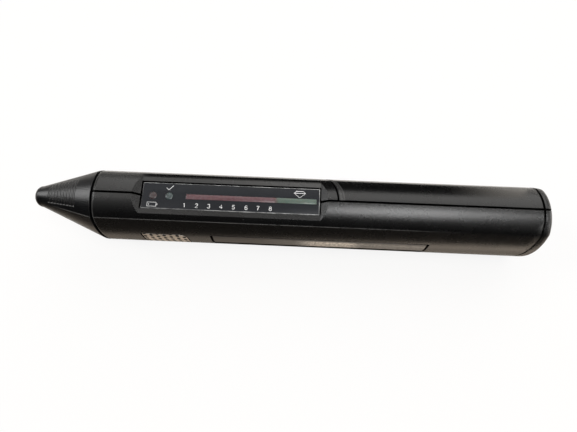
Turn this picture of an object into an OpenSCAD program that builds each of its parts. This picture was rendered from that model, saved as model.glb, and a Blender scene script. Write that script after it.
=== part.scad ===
// Pocket diamond tester: a two-shell housing with a light-bar display, a
// retracting heated probe under a pull-off cap, and a sliding battery cover.
// X runs from the cap nose (-X) to the rear end, the display faces +Z, and the
// flat underside lies on Z = 0 with the origin below the middle of the length.

/* [Housing] */
// Width across the bowed sides
body_w = 20.4; // [19.8:0.1:22]
// Distance between the creases that edge the rounded top
crease_w = 14.2; // [13.6:0.1:15]
// Drop from the ridge to the creases
crease_drop = 2.7; // [2.4:0.1:3]
// Width of the flat underside
land_w = 9.8; // [8.5:0.1:11]
// Wall of the housing
wall = 2; // [1.8:0.05:2.1]
// Round on the front lip
lip_r = 1.2; // [0.6:0.1:1.5]
// Round on the rear edge
rear_r = 1.9; // [0.8:0.1:2.2]
// Distance from the rear end to the middle of the groove round it
groove_back = 2.7; // [2.4:0.1:4]
// How far that groove leans towards the front from the ridge down to the underside
groove_lean = 2.4; // [0:0.1:4]
// Width and depth of that groove
groove = 0.6; // [0.3:0.1:0.8]
// Gap at the parting seam of the two shells
seam = 0.1; // [0.06:0.02:0.2]
// Width of the groove that runs along the parting seam
seam_line = 0.36; // [0.24:0.02:0.5]
// Depth of that groove
seam_depth = 1.2; // [0.8:0.1:1.3]
// Clearance round a piece that moves
play = 0.3; // [0.25:0.05:0.4]

/* [Cap] */
// Room between the probe's tip and the inside of the cap
cap_room = 2.3; // [1:0.1:6]
// Radius of the cap nose
nose_r = 3.2; // [2.6:0.1:3.4]
// Round on the edge of the cap nose
nose_edge = 2; // [1:0.1:2.2]
// Drop from the ridge to the axis of the nose and the probe
nose_drop = 7.2; // [7:0.1:8]
// Wall of the cap round its nose
cap_wall = 1.5; // [1.2:0.1:1.7]
// Thickness of the cap at the end of its nose
cap_end = 2.5; // [2:0.1:3]
// Length of the spigot that the cap slides over
spigot_len = 2.6; // [2:0.1:3]
// Step from the housing's outside in to the spigot
spigot_step = 3.1; // [2.8:0.1:3.4]
// Height of the flat under the spigot
spigot_floor = 5; // [4.5:0.1:6]
// Number of grip ridges on the top of the cap
rib_count = 9; // [4:1:10]
// Spacing of the grip ridges
rib_pitch = 1.05; // [0.9:0.01:1.1]
// Distance from the cap seam to the first grip ridge
rib_start = 5.3; // [4.5:0.1:5.5]
// Depth of the grooves between the ridges
rib_depth = 0.2; // [0.1:0.05:0.3]
// Half width of the band of ridges at the nose
rib_reach = 1.85; // [1.5:0.05:2.2]
// Widening of that band for each millimetre towards the cap seam
rib_spread = 0.17; // [0.1:0.01:0.25]

/* [Probe] */
// Length of the cone in front of the spigot
cone_len = 7.8; // [6:0.1:8.5]
// Radius of the cone where it leaves the spigot
cone_r = 3; // [2.8:0.1:3.1]
// Radius of the cone at its front
cone_tip_r = 1.3; // [1.2:0.1:1.6]
// Radius of the flange behind the front wall
flange_r = 4.6; // [4.4:0.1:4.8]
// Radius of the barrel behind the flange
barrel_r = 4; // [3.6:0.1:4.2]
// Radius of the plunger bore
plunger_bore_r = 2.3; // [2.2:0.05:2.4]
// Radius of the tip's shaft
shaft_r = 0.8; // [0.7:0.05:0.9]
// Radial running fit of the plunger and its shaft
running_fit = 0.06; // [0.03:0.01:0.1]
// Length of bare tip in front of the cone
tip_len = 3.8; // [3:0.1:4.2]
// Radius of the bare tip
tip_r = 0.45; // [0.35:0.05:0.6]
// Travel of the tip when it is pressed
tip_travel = 1.2; // [0.8:0.1:1.6]
// Turns of the probe spring
probe_turns = 8; // [6:1:9]
// Radius of the probe spring's wire
probe_wire_r = 0.2; // [0.15:0.01:0.22]

/* [Display] */
// Distance from the cap seam to the flat for the display
display_start = 13.9; // [13:0.1:15]
// Length of the flat
display_len = 52.1; // [51.9:0.1:54]
// Depth of the flat below the ridge
display_drop = 1.55; // [1.4:0.05:1.7]
// Run of the ramp at each end of the flat
ramp_run = 2.1; // [1.6:0.1:2.6]
// Gap between each end of the flat and the window
window_margin = 0.35; // [0.25:0.05:1]
// Width of the window
window_w = 7.9; // [7.5:0.1:8.4]
// Thickness of the window
window_t = 1.2; // [1:0.05:1.3]
// Width of the ledge under the window's edge
ledge = 0.9; // [0.6:0.1:1.1]
// Distance from the window's front edge to the low battery lamp
low_lamp_in = 3.25; // [2.6:0.05:4]
// Distance from one lamp to the next
lamp_pitch = 4.7; // [3.5:0.1:5]
// Radius of the two lamps
lamp_r = 1.1; // [0.8:0.1:1.2]
// Distance from the window's front edge to the light bars
bar_in = 12.85; // [11.5:0.05:15]
// Distance from the light bars to the window's rear edge
bar_back = 0.95; // [0.9:0.05:4]
// Share of the light bars' length that is red
red_share = 0.685; // [0.5:0.005:0.8]
// Gap between the bars
bar_gap = 0.4; // [0.3:0.1:0.6]
// Width of the light bars
bar_w = 1.5; // [1.2:0.1:1.8]
// Number of lamps under the red bar
red_lamps = 8; // [4:1:10]
// Number of lamps under the green bar
green_lamps = 3; // [2:1:4]

/* [Circuit board] */
// Thickness of the board
board_t = 1.2; // [1:0.1:1.4]
// Depth of the board's top below the ridge
board_drop = 5.1; // [4.9:0.1:5.3]
// Radius of the buzzer
buzzer_r = 4.5; // [3.5:0.1:4.6]
// Height of the buzzer
buzzer_h = 3.5; // [2.5:0.1:4]

/* [Side plates] */
// Distance from the cap seam to the touch plate
touch_start = 13.2; // [12:0.1:14]
// Length of the touch plate
touch_len = 13.3; // [12:0.1:15]
// Height of the touch plate
touch_h = 8.9; // [8:0.1:9.2]
// Round on the rear corners of the touch plate
touch_round = 2.5; // [1.5:0.1:4]
// Thickness of the touch plate
touch_t = 0.8; // [0.6:0.1:1]
// Spacing of the dimples along the touch plate
dimple_pitch = 1.97; // [1.7:0.01:2.2]
// Spacing of the dimples up the touch plate
dimple_rise = 1.9; // [1.7:0.1:2.2]
// Radius of the dimples
dimple_r = 0.42; // [0.24:0.02:0.46]
// Distance from the cap seam to the blank name plate
name_start = 34.1; // [33:0.1:36]
// Length of the name plate
name_len = 64; // [50:1:66]
// Height of the name plate
name_h = 5.8; // [5:0.1:6.5]
// Thickness of the name plate
name_t = 0.4; // [0.3:0.05:0.6]
// How far the name plate reaches below the widest line
name_low = 1; // [0.5:0.1:2]

/* [Power switch] */
// Distance from the cap seam to the middle of the switch
switch_start = 19.8; // [19:0.1:22]
// Travel of the switch knob
switch_travel = 3; // [2:0.1:3.4]
// Length of the knob's pad
knob_len = 5.2; // [4.5:0.1:5.6]
// Height of the knob's pad
knob_h = 4.8; // [4:0.1:5]
// Length of the switch's case
switch_len = 9; // [8.6:0.1:10]
// Height of the switch's case
switch_h = 5; // [4.4:0.1:5.4]
// Depth of the switch's case
switch_t = 3.4; // [3:0.1:3.6]

/* [Battery bay] */
// Distance from the bay's front wall to the cover's front edge at the ridge
cover_back = 2.8; // [2:0.1:4]
// Radius of the cover's bowed front edge
cover_bow = 19.3; // [18:0.1:22]
// Width of the lowered edge along the cover's front
cover_rebate = 0.8; // [0.5:0.1:1.6]
// Clearance over and under the pair of cells
cell_slack = 0.35; // [0.3:0.05:0.8]
// Thickness of the bay's end walls
bay_wall = 1.5; // [1.2:0.1:1.8]
// Radius of a battery cell
cell_r = 5.25; // [5:0.05:5.6]
// Length of a battery cell without its button
cell_len = 43.7; // [42:0.1:44]
// Radius of the cell's button
button_r = 1.9; // [1.6:0.1:2.2]
// Length of the cell's button
button_len = 0.8; // [0.6:0.1:1]
// Length of a fitted battery spring
spring_len = 4.7; // [4.2:0.1:5.2]
// Turns of a battery spring
spring_turns = 4; // [3:0.5:4]
// Radius of a battery spring's wire
spring_wire_r = 0.25; // [0.2:0.01:0.28]
// Thickness of the battery contacts
contact_t = 0.4; // [0.3:0.05:0.5]

/* [Power socket] */
// Radius of the socket's bore for a charger plug
socket_bore_r = 1.8; // [1.6:0.05:2]
// Depth of that bore
socket_depth = 9; // [7:0.1:9.5]
// Radius of the socket's case
socket_r = 3.2; // [3:0.1:3.4]
// Length of the socket's case inside the housing
socket_len = 9.5; // [8:0.1:14]

/* [Screws] */
// Radius of a screw's shank
screw_r = 1; // [0.8:0.05:1.1]
// Radius of a screw's head
screw_head_r = 2; // [1.8:0.1:2.2]
// Length of a screw's shank
screw_len = 10.5; // [9:0.5:11]
// Height of the screws above the underside
screw_z = 5.6; // [5.4:0.1:6]

/* [Hidden] */
$fn = 72;
tiny = 0.05;
big = 200;

// Height of the housing, set by the two cells that lie one above the other
cell_gap = 0.3;
body_h = 2 * (wall + cell_slack) + 4 * cell_r + cell_gap;
cell_zs = [body_h / 2 - cell_r - cell_gap / 2, body_h / 2 + cell_r + cell_gap / 2];

// Section of the housing: two bowed sides, a rounded top and its mirror image below
half_w = body_w / 2;
wall_in = half_w - wall;
top_r = (pow(crease_w / 2, 2) + pow(crease_drop, 2)) / (2 * crease_drop);
land_rise = top_r - sqrt(pow(top_r, 2) - pow(land_w / 2, 2));
mid_z = (body_h - land_rise) / 2;
bow_in = half_w - crease_w / 2;
bow_up = body_h - crease_drop - mid_z;
side_r = (pow(bow_in, 2) + pow(bow_up, 2)) / (2 * bow_in);
function inner_half(z) = sqrt(pow(side_r - wall, 2) - pow(z - mid_z, 2)) - (side_r - half_w);

// Lengths of the cap, the battery bay and the housing, added up from what they hold
cap_len = spigot_len + cone_len + tip_len + cap_room + cap_end;
cap_gap = 0.25;
bed_margin = 1.05;
bed_len = display_start + display_len + ramp_run + bed_margin;
bay_start = bed_len + cell_slack - contact_t - button_len;
bay_len = 2 * contact_t + button_len + cell_len + spring_len;
body_len = bay_start + bay_len + bay_wall + socket_len + wall;

// Stations along X
nose_x = -(body_len + cap_len) / 2;
rim_x = nose_x + cap_len;
rear_x = rim_x + body_len;
spigot_x = rim_x - spigot_len;
front_x = rim_x + wall;
rear_in_x = rear_x - wall;
bay_x = rim_x + bay_start;
bay_end = bay_x + bay_len;
bay_back = bay_end + bay_wall;

// Display and its bed
fit_gap = 0.12;
ledge_t = 1.15;
flat_z = body_h - display_drop;
window_top = flat_z - 0.1;
window_low = window_top - window_t;
bed_z = window_low - ledge_t;
flat_x = rim_x + display_start;
window_x = flat_x + window_margin;
window_len = display_len - 2 * window_margin;
bar_x = window_x + bar_in;
bars_len = window_len - bar_in - bar_back - bar_gap;
red_len = red_share * bars_len;
green_len = bars_len - red_len;
green_x = bar_x + red_len + bar_gap;
bar_foot = 0.8;
bar_foot_t = 0.6;
bar_stand = 0.9;
low_lamp_x = window_x + low_lamp_in;
ready_lamp_x = low_lamp_x + lamp_pitch;
bed_x = flat_x - ramp_run - bed_margin;
bed_end = rim_x + bed_len;

// Probe: the flange lies behind the front wall and the barrel behind the flange
probe_z = body_h - nose_drop;
flange_t = 1.8;
saddle_t = 1.6;
collar_t = 1.2;
plug_len = 3.5;
plug_head = 0.8;
heater_len = 4;
stem_r = 0.7;
flange_x = front_x + flange_t;
barrel_x = bed_x - plug_head - play;
cone_x = spigot_x - cone_len;
shoulder_x = spigot_x - collar_t - 0.2;
collar_x = shoulder_x + play;
plug_x = barrel_x - plug_len;
spring_front = collar_x + collar_t;

// Board between the probe and the battery bay
board_top = body_h - board_drop;
board_low = board_top - board_t;
board_w = 2 * (inner_half(board_top) - play);
board_x = barrel_x + plug_head + 0.7;
board_end = bay_x - bay_wall - 1.3;
rail_reach = buzzer_r + 0.4;
rail_t = 1.2;

// Cover: its bowed front edge is an arc seen from the side
cover_drop = body_h - mid_z;
cover_x = bay_x + cover_back + sqrt(pow(cover_bow, 2) - pow(cover_drop, 2));
cover_tip_x = cover_x - cover_bow;
rebate_depth = 0.12;
lap_in = 1.3;
lap_reach = 0.9;
lap_x = cover_x + play - sqrt(pow(cover_bow + play, 2) - pow(cover_drop - lap_in, 2));
tongue_reach = 2.6;
tongue_h = 4;
tongue_t = 1.1;

// Hooks of the housing that hold the cover's rear edge
hook_x = bay_back + 1.7;
hook_end = rear_in_x - 1.5;
hook_reach = 3;
hook_lip = 1;
hook_t = 1.2;
hook_bite = 0.2;
hook_top = body_h - wall - 1;
hook_low = wall + 0.6;

// Touch plate and the rivet behind it
touch_x = rim_x + touch_start;
round_x = touch_x + touch_len - touch_round;
dimple_edge = 0.6;
dimple_rim = 0.2;
plate_gap = 0.35;
rivet_x = touch_x + 5;
rivet_r = 1;

// Power switch and its slot
switch_x = rim_x + switch_start;
switch_y = wall_in - 0.3;
knob_x = switch_x + switch_travel / 2;
stem_l = 2.4;
stem_h = 2;
stem_in = 1.3;
slot_l = stem_l + switch_travel + 2 * play;
pad_t = 0.9;
switch_rib = 1.2;

// Battery contacts and springs
contact_half = 3.5;
stud_r = 0.75;
stud_out = 1;
coil_wide = 3;
coil_narrow = 1.9;

// Screws through the far shell into posts of the near shell
screw_first = rim_x + 9;
screw_last = bay_x - bay_wall - 7.3;
screw_xs = [screw_first, (screw_first + screw_last) / 2, screw_last];
screw_slot_w = 0.5;
screw_slot_l = 2.4;
screw_slot_depth = 0.7;
post_r = screw_r + 1.5;
screw_seat = half_w - 3.6;
screw_head_t = 1.3;

// Power socket and leads
socket_out = wall_in - socket_r - 0.4;
socket_neck_r = socket_r - 0.6;
socket_sink = 0.3;
lead_r = 0.45;
lead_back = 1.4;
lead_rise = 2;
lead_out = wall_in - 5;
socket_lead_r = 0.8;
socket_lead_y = -(socket_out + 2);

// Lays a section drawn in (Y, Z) along X from x0 to x1
module along_x(x0, x1) {
    translate([x0, 0, 0]) rotate([90, 0, 90]) linear_extrude(x1 - x0) children();
}

// Stands an outline drawn in (X, Z) along Y from y0 to y1
module along_y(y0, y1) {
    translate([0, y1, 0]) rotate([90, 0, 0]) linear_extrude(y1 - y0) children();
}

// A box between two corners
module block(p, q) {
    translate(p) cube(q - p);
}

// A round rod along X, Y or between two points
module rod_x(x0, x1, y, z, r) {
    translate([x0, y, z]) rotate([0, 90, 0]) cylinder(h = x1 - x0, r = r);
}

module rod_y(y0, y1, x, z, r) {
    translate([x, y0, z]) rotate([-90, 0, 0]) cylinder(h = y1 - y0, r = r);
}

module rod(p, q, r) {
    d = q - p;
    len = norm(d);
    translate(p) rotate([0, acos(d[2] / len), atan2(d[1], d[0])]) cylinder(h = len, r = r);
}

// A round wire through a list of points
module wire(path, r) {
    for (i = [0 : len(path) - 2]) rod(path[i], path[i + 1], r);
    for (i = [1 : len(path) - 2]) translate(path[i]) sphere(r + 0.02);
}

// A bar along X with rounded end edges
module round_bar(r, x0, x1, e0, e1) {
    n = 5;
    front = [for (i = [0 : n]) [r - e0 + e0 * sin(90 * i / n), e0 - e0 * cos(90 * i / n)]];
    rear = [for (i = [0 : n]) [r - e1 + e1 * cos(90 * i / n), x1 - x0 - e1 + e1 * sin(90 * i / n)]];
    translate([x0, 0, 0]) rotate([0, 90, 0])
        rotate_extrude() polygon(concat([[0, 0]], front, rear, [[0, x1 - x0]]));
}

// Section of the housing moved inward by inset, with its flat underside at floor_z
module section(inset = 0, floor_z = 0) {
    zone = crease_drop + inset + 1;
    difference() {
        intersection() {
            translate([side_r - half_w, mid_z]) circle(side_r - inset);
            translate([half_w - side_r, mid_z]) circle(side_r - inset);
        }
        for (up = [0, 1]) translate([0, mid_z]) mirror([0, up]) difference() {
            translate([-body_w, body_h - mid_z - zone]) square([2 * body_w, zone + body_h]);
            translate([0, body_h - mid_z - top_r]) circle(top_r - inset);
        }
        translate([-body_w, -body_h]) square([2 * body_w, body_h + max(inset, floor_z)]);
    }
}

// The whole housing as one solid, with its lip, its rear edge and its flat underside
module housing() {
    zone = crease_drop + 1;
    difference() {
        intersection() {
            translate([0, side_r - half_w, mid_z]) round_bar(side_r, rim_x, rear_x, lip_r, rear_r);
            translate([0, half_w - side_r, mid_z]) round_bar(side_r, rim_x, rear_x, lip_r, rear_r);
        }
        for (up = [0, 1]) translate([0, 0, mid_z]) mirror([0, 0, up]) difference() {
            block([rim_x - 1, -body_w, body_h - mid_z - zone], [rear_x + 1, body_w, body_h]);
            translate([0, 0, body_h - mid_z - top_r]) round_bar(top_r, rim_x, rear_x, lip_r, rear_r);
        }
        block([rim_x - 1, -body_w, -body_h], [rear_x + 1, body_w, 0]);
    }
}

// Spigot that carries the cap
module spigot() {
    along_x(spigot_x, rim_x + lip_r + 1) section(spigot_step, spigot_floor);
}

// Flat for the display with a ramp at each end
module display_cut() {
    rise = 3 * display_drop;
    run = 3 * ramp_run;
    along_y(-half_w, half_w) polygon([
        [flat_x, flat_z], [flat_x + display_len, flat_z],
        [flat_x + display_len + run, flat_z + rise], [flat_x - run, flat_z + rise]
    ]);
}

// Seat of the window and the opening below it
module window_cut() {
    block([window_x - fit_gap, -window_w / 2 - fit_gap, window_low],
          [window_x + window_len + fit_gap, window_w / 2 + fit_gap, body_h]);
    block([window_x + ledge, -window_w / 2 + ledge, bed_z - 1],
          [window_x + window_len - ledge, window_w / 2 - ledge, window_low + tiny]);
}

// Groove round the rear end
module rear_groove() {
    top = rear_x - groove_back + groove_lean / body_h;
    low = rear_x - groove_back - groove_lean * (1 + 1 / body_h);
    difference() {
        along_y(-body_w, body_w) polygon([
            [low - groove / 2, -1], [low + groove / 2, -1],
            [top + groove / 2, body_h + 1], [top - groove / 2, body_h + 1]
        ]);
        along_x(low - groove, top + groove) section(groove, groove);
    }
}

// Groove along the parting seam, over the ridge, the ramps, the rear end and the underside
module seam_groove() {
    difference() {
        block([rim_x, -seam_line / 2, -1], [rear_x + 1, seam_line / 2, body_h + 1]);
        difference() {
            along_x(rim_x - 1, rear_x - seam_depth) section(seam_depth, seam_depth);
            translate([0, 0, -seam_depth]) display_cut();
        }
    }
}

// Everything behind the cover's bowed front edge
module cover_zone(r) {
    rod_y(-body_w, body_w, cover_x, mid_z, r);
    block([cover_x, -body_w, -body_h], [rear_x + 10, body_w, 2 * body_h]);
}

// Ribs that both shells keep inside: display bed, board rails and probe saddle
module common_ribs() {
    block([bed_x, -body_w, bed_z], [bed_end, body_w, body_h]);
    for (s = [-1, 1]) translate([0, s * (rail_reach + half_w / 2), 0])
        block([board_x, -half_w / 2, board_low - rail_t], [board_end - 5, half_w / 2, board_low]);
    difference() {
        block([flange_x, -body_w, 0], [flange_x + saddle_t, body_w, body_h]);
        rod_x(flange_x - 1, flange_x + saddle_t + 1, 0, probe_z, barrel_r + tiny);
    }
}

// Hollow of the housing, less the ribs given as children
module hollow() {
    difference() {
        along_x(front_x, rear_in_x) section(wall);
        common_ribs();
        children();
    }
}

// Housing with its outer cuts and its hollow, before it is split
module shell_blank() {
    difference() {
        union() {
            housing();
            spigot();
        }
        children();
        display_cut();
        window_cut();
        rear_groove();
        seam_groove();
        rod_x(spigot_x - 1, front_x + 1, 0, probe_z, cone_r + tiny);
    }
}

// Bay wall: joined to the near shell, clear of the far side that slides past it
module bay_wall_at(x) {
    along_x(x, x + bay_wall) union() {
        intersection() {
            section(wall / 2);
            translate([-body_w - seam / 2, 0]) square([body_w, body_h]);
        }
        intersection() {
            section(wall + play);
            translate([-seam, 0]) square([wall_in - 2.2, bed_z - seam]);
        }
    }
}

// Saddle rib under the two cells
module cell_saddle(x) {
    along_x(x, x + bay_wall) difference() {
        intersection() {
            section(wall / 2);
            translate([-body_w - 1.2, 0]) square([body_w, body_h]);
        }
        for (z = cell_zs) translate([0, z]) circle(cell_r + 0.1);
    }
}

// Hooked arms, at the top and at the underside, that the cover's grooves slide along
module cover_hooks() {
    lip_y = hook_reach - hook_lip;
    block([hook_x, -(wall_in - 2.8), hook_top - hook_t], [hook_end, hook_reach, hook_top]);
    block([hook_x, lip_y, hook_top - hook_t], [hook_end, hook_reach, body_h - wall + hook_bite]);
    block([hook_x, -(wall_in - 1.2), hook_low], [hook_end, hook_reach, hook_low + hook_t]);
    block([hook_x, lip_y, wall - hook_bite], [hook_end, hook_reach, hook_low + hook_t]);
}

// Strip of the wall's inner part, at the ridge and at the underside, behind the cover's edge
module cover_lap(x0, x1, d0, d1, reach) {
    along_x(x0, x1) intersection() {
        difference() {
            section(d0);
            section(d1);
        }
        translate([-seam, 0]) square([seam + reach, body_h]);
    }
}

// Outline of the touch plate, square in front and rounded at its rear corners
module touch_outline(grow = 0) {
    low = mid_z - touch_h / 2;
    translate([touch_x - grow, low - grow])
        square([touch_len - touch_round + grow, touch_h + 2 * grow]);
    translate([touch_x, low + touch_round]) square([touch_len + grow, touch_h - 2 * touch_round]);
    for (z = [low + touch_round, low + touch_h - touch_round])
        translate([round_x, z]) circle(touch_round + grow);
}

// Outline of the name plate
module name_outline(grow = 0) {
    translate([rim_x + name_start - grow, mid_z - name_low - grow])
        square([name_len + 2 * grow, name_h + 2 * grow]);
}

// A skin of the near side, from depth d0 to depth d1, within an outline
module near_skin(d0, d1) {
    intersection() {
        along_x(rim_x, rear_x) difference() {
            section(d0);
            section(d1);
        }
        along_y(-body_w, -half_w / 2) children();
    }
}

// A spring of n turns along X from x0 to x1, wound from radius r0 to r1
function coil_points(x0, x1, r0, r1, n, w) = [
    for (i = [0 : 8 * n]) let (t = i / (8 * n))
        let (r = r0 + (r1 - r0) * t)
        [x0 + w + (x1 - x0 - 2 * w) * t, r * cos(45 * i), r * sin(45 * i)]
];

// Least gap between turns of a spring
function coil_gap(p, w) = min([
    for (i = [0 : len(p) - 9]) for (j = [i + 5 : min(i + 12, len(p) - 1)]) norm(p[i] - p[j]) - 2 * w
]);

module coil(x0, x1, r0, r1, n, w) {
    p = coil_points(x0, x1, r0, r1, n, w);
    m = len(p);
    points = [
        for (i = [0 : m - 1]) let (
            d = p[min(i + 1, m - 1)] - p[max(i - 1, 0)],
            along = d / norm(d),
            out = cross(along, [1, 0, 0]) / norm(cross(along, [1, 0, 0])),
            side = cross(along, out)
        ) for (k = [0 : 5]) p[i] + w * (cos(60 * k) * out + sin(60 * k) * side)
    ];
    walls = [
        for (i = [0 : m - 2]) for (k = [0 : 5]) let (a = 6 * i + k, b = 6 * i + (k + 1) % 6)
            each [[a, a + 6, b], [b, a + 6, b + 6]]
    ];
    ends = [
        for (k = [1 : 4]) each [[0, k, k + 1], [6 * (m - 1), 6 * (m - 1) + k + 1, 6 * (m - 1) + k]]
    ];
    echo(least_gap = coil_gap(p, w));
    polyhedron(points = points, faces = concat(walls, ends));
}

// Shells

module near_shell() {
    color([0.13, 0.13, 0.14]) difference() {
        union() {
            intersection() {
                shell_blank() hollow()
                    for (x = screw_xs) rod_y(-body_w, 0, x, screw_z, post_r);
                block([-big, -big, -big], [big, -seam / 2, big]);
            }
            bay_wall_at(bay_x - bay_wall);
            bay_wall_at(bay_end);
            cell_saddle(bay_x + 0.28 * cell_len);
            cell_saddle(bay_x + 0.78 * cell_len);
            cover_hooks();
            cover_lap(lap_x, rear_in_x - play, lap_in, wall - seam, lap_reach);
        }
        for (x = screw_xs) rod_y(screw_seat - screw_len - 0.5, 1, x, screw_z, screw_r + 0.02);
        near_skin(-1, touch_t + tiny) touch_outline(plate_gap);
        near_skin(-1, name_t + tiny) name_outline(plate_gap);
        rod_y(-half_w, 0, rivet_x, mid_z, rivet_r + tiny);
        rod_x(bay_x - bay_wall - 1, bay_back + 1, socket_lead_y, mid_z, socket_lead_r + tiny);
        for (z = cell_zs) rod_x(bay_x - bay_wall - 1, bay_x + 1, 0, z, stud_r + tiny);
        rod_x(bay_end - 1, bay_back + 1, 0, body_h / 2, stud_r + tiny);
        rod_x(rear_in_x - 1, rear_x + 1, -socket_out, mid_z, socket_neck_r + tiny);
    }
}

module far_shell() {
    color([0.13, 0.13, 0.14]) difference() {
        intersection() {
            shell_blank() hollow() {
                for (x = screw_xs) rod_y(0, body_w, x, screw_z, screw_head_r + 1);
                for (s = [-1, 1]) translate([switch_x + s * (switch_len + switch_rib) / 2, 0, mid_z])
                    block([-switch_rib / 2, switch_y - switch_t, -switch_h / 2],
                          [switch_rib / 2, body_w, switch_h / 2]);
            }
            block([-big, seam / 2, -big], [big, big, big]);
        }
        cover_zone(cover_bow + play);
        for (x = screw_xs) {
            rod_y(-1, body_w, x, screw_z, screw_r + 0.15);
            rod_y(screw_seat, body_w, x, screw_z, screw_head_r + 0.2);
        }
        switch_recess();
    }
}

// Recess for the knob's pad and slot for its stem
module switch_recess() {
    l = knob_len + switch_travel + 2 * play;
    intersection() {
        along_x(switch_x - l / 2, switch_x + l / 2) difference() {
            section(-1);
            section(pad_t + play);
        }
        block([-big, half_w / 2, mid_z - knob_h / 2 - play], [big, body_w, mid_z + knob_h / 2 + play]);
    }
    block([switch_x - slot_l / 2, switch_y, mid_z - stem_h / 2 - play],
          [switch_x + slot_l / 2, body_w, mid_z + stem_h / 2 + play]);
}

module battery_cover() {
    color([0.13, 0.13, 0.14]) difference() {
        union() {
            intersection() {
                difference() {
                    shell_blank();
                    along_x(front_x, rear_in_x) section(wall);
                    cover_grooves();
                    cover_lap(cover_tip_x, rear_in_x, lap_in - play, wall + seam, lap_reach + play);
                }
                block([-big, play - seam / 2, -big], [big, big, big]);
                cover_zone(cover_bow);
            }
            cover_tongue();
        }
        intersection() {
            along_x(cover_tip_x - 5, cover_x) difference() {
                section(-1);
                section(rebate_depth);
            }
            difference() {
                rod_y(0, body_w, cover_x, mid_z, cover_bow + 1);
                rod_y(-1, body_w + 1, cover_x, mid_z, cover_bow - cover_rebate);
            }
        }
    }
}

// Grooves inside the cover for the lips of the housing's hooks
module cover_grooves() {
    y0 = hook_reach - hook_lip - play;
    y1 = hook_reach + play;
    block([cover_tip_x - 1, y0, mid_z], [hook_end + play, y1, body_h - wall + hook_bite + play]);
    block([cover_tip_x - 1, y0, wall - hook_bite - play], [hook_end + play, y1, mid_z]);
}

// Tongue of the cover that reaches under the far shell's edge
module cover_tongue() {
    base = cover_x - sqrt(pow(cover_bow, 2) - pow(tongue_h, 2)) + 0.6;
    root = base + 2.4;
    intersection() {
        union() {
            along_x(cover_tip_x - tongue_reach, root) difference() {
                section(wall + play);
                section(wall + play + tongue_t);
            }
            along_x(base, root) difference() {
                section(wall / 2);
                section(wall + play + tongue_t / 2);
            }
        }
        block([-big, half_w / 2, mid_z - tongue_h], [big, body_w, mid_z + tongue_h]);
    }
}

module probe_cap() {
    color([0.11, 0.11, 0.12]) difference() {
        cap_form(0);
        hull() {
            along_x(spigot_x - 2 * play, rim_x) section(spigot_step - play, spigot_floor - play);
            rod_x(nose_x + cap_end, nose_x + cap_end + tiny, 0, probe_z, nose_r - cap_wall);
        }
        intersection() {
            difference() {
                cap_form(-1);
                cap_form(rib_depth);
            }
            for (i = [0 : rib_count - 1]) cap_rib_slot(rim_x - rib_start - i * rib_pitch);
        }
    }
}

// Outside of the cap, moved inward by inset
module cap_form(inset) {
    hull() {
        along_x(rim_x - cap_gap - 0.6, rim_x - cap_gap) section(inset, max(inset, 0));
        translate([nose_x + nose_edge, 0, probe_z]) rotate([0, 90, 0])
            rotate_extrude($fn = 48) intersection() {
                translate([nose_r - nose_edge, 0]) circle(nose_edge - inset, $fn = 24);
                translate([0, -nose_r]) square(2 * nose_r);
            }
    }
}

// Slot between two grip ridges, shorter towards the nose
module cap_rib_slot(x) {
    w = rib_pitch / 2;
    reach = rib_reach + rib_spread * (x - nose_x);
    block([x - w / 2, -reach, probe_z], [x + w / 2, reach, body_h + 2]);
}

// Probe

module on_probe_axis(x) {
    translate([x, 0, probe_z]) rotate([0, 90, 0]) children();
}

module probe_nose() {
    l0 = spigot_x - cone_x;
    l1 = front_x - cone_x;
    l2 = flange_x - cone_x;
    l3 = barrel_x - cone_x;
    s = shoulder_x - cone_x;
    bore = shaft_r + running_fit;
    color([0.16, 0.16, 0.17]) on_probe_axis(cone_x) rotate_extrude() polygon([
        [bore, 0], [cone_tip_r, 0], [cone_r, l0], [cone_r, l1], [flange_r, l1], [flange_r, l2],
        [barrel_r, l2], [barrel_r, l3], [plunger_bore_r, l3], [plunger_bore_r, s], [bore, s]
    ]);
}

module probe_tip() {
    l0 = tip_len;
    l1 = tip_len + collar_x - cone_x;
    l2 = l1 + collar_t;
    point = 0.6;
    end = tip_len + plug_x - tip_travel - play - cone_x;
    color([0.78, 0.5, 0.32]) on_probe_axis(cone_x - tip_len) rotate_extrude() polygon([
        [0, 0], [tip_r / 2, 0], [tip_r, point], [tip_r, l0 - 0.4], [shaft_r, l0], [shaft_r, l1],
        [plunger_bore_r - running_fit, l1], [plunger_bore_r - running_fit, l2], [stem_r, l2],
        [stem_r, end], [0, end]
    ]);
}

module probe_heater() {
    color([0.92, 0.9, 0.84]) on_probe_axis(spring_front) difference() {
        cylinder(h = heater_len, r = plunger_bore_r - 1);
        translate([0, 0, -1]) cylinder(h = heater_len + 2, r = stem_r + 0.02);
    }
}

module probe_spring() {
    r = plunger_bore_r - probe_wire_r - 0.22;
    color([0.75, 0.76, 0.78]) translate([0, 0, probe_z])
        coil(spring_front + tiny, plug_x - tiny, r, r, probe_turns, probe_wire_r);
}

module probe_plug() {
    color([0.8, 0.68, 0.4]) on_probe_axis(plug_x) difference() {
        union() {
            cylinder(h = plug_len, r = plunger_bore_r - 0.02);
            translate([0, 0, plug_len]) cylinder(h = plug_head, r = barrel_r);
        }
        translate([0, 0, -1]) cylinder(h = plug_len + plug_head + 2, r = 0.6);
    }
}

module probe_leads() {
    x = barrel_x + plug_head;
    z = board_low - 1.6;
    color([0.7, 0.12, 0.1]) for (y = [-1.5, 1.5])
        wire([[x, y, z], [x + 3, y, z], [x + 3, y, board_low]], lead_r);
}

// Display

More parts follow.
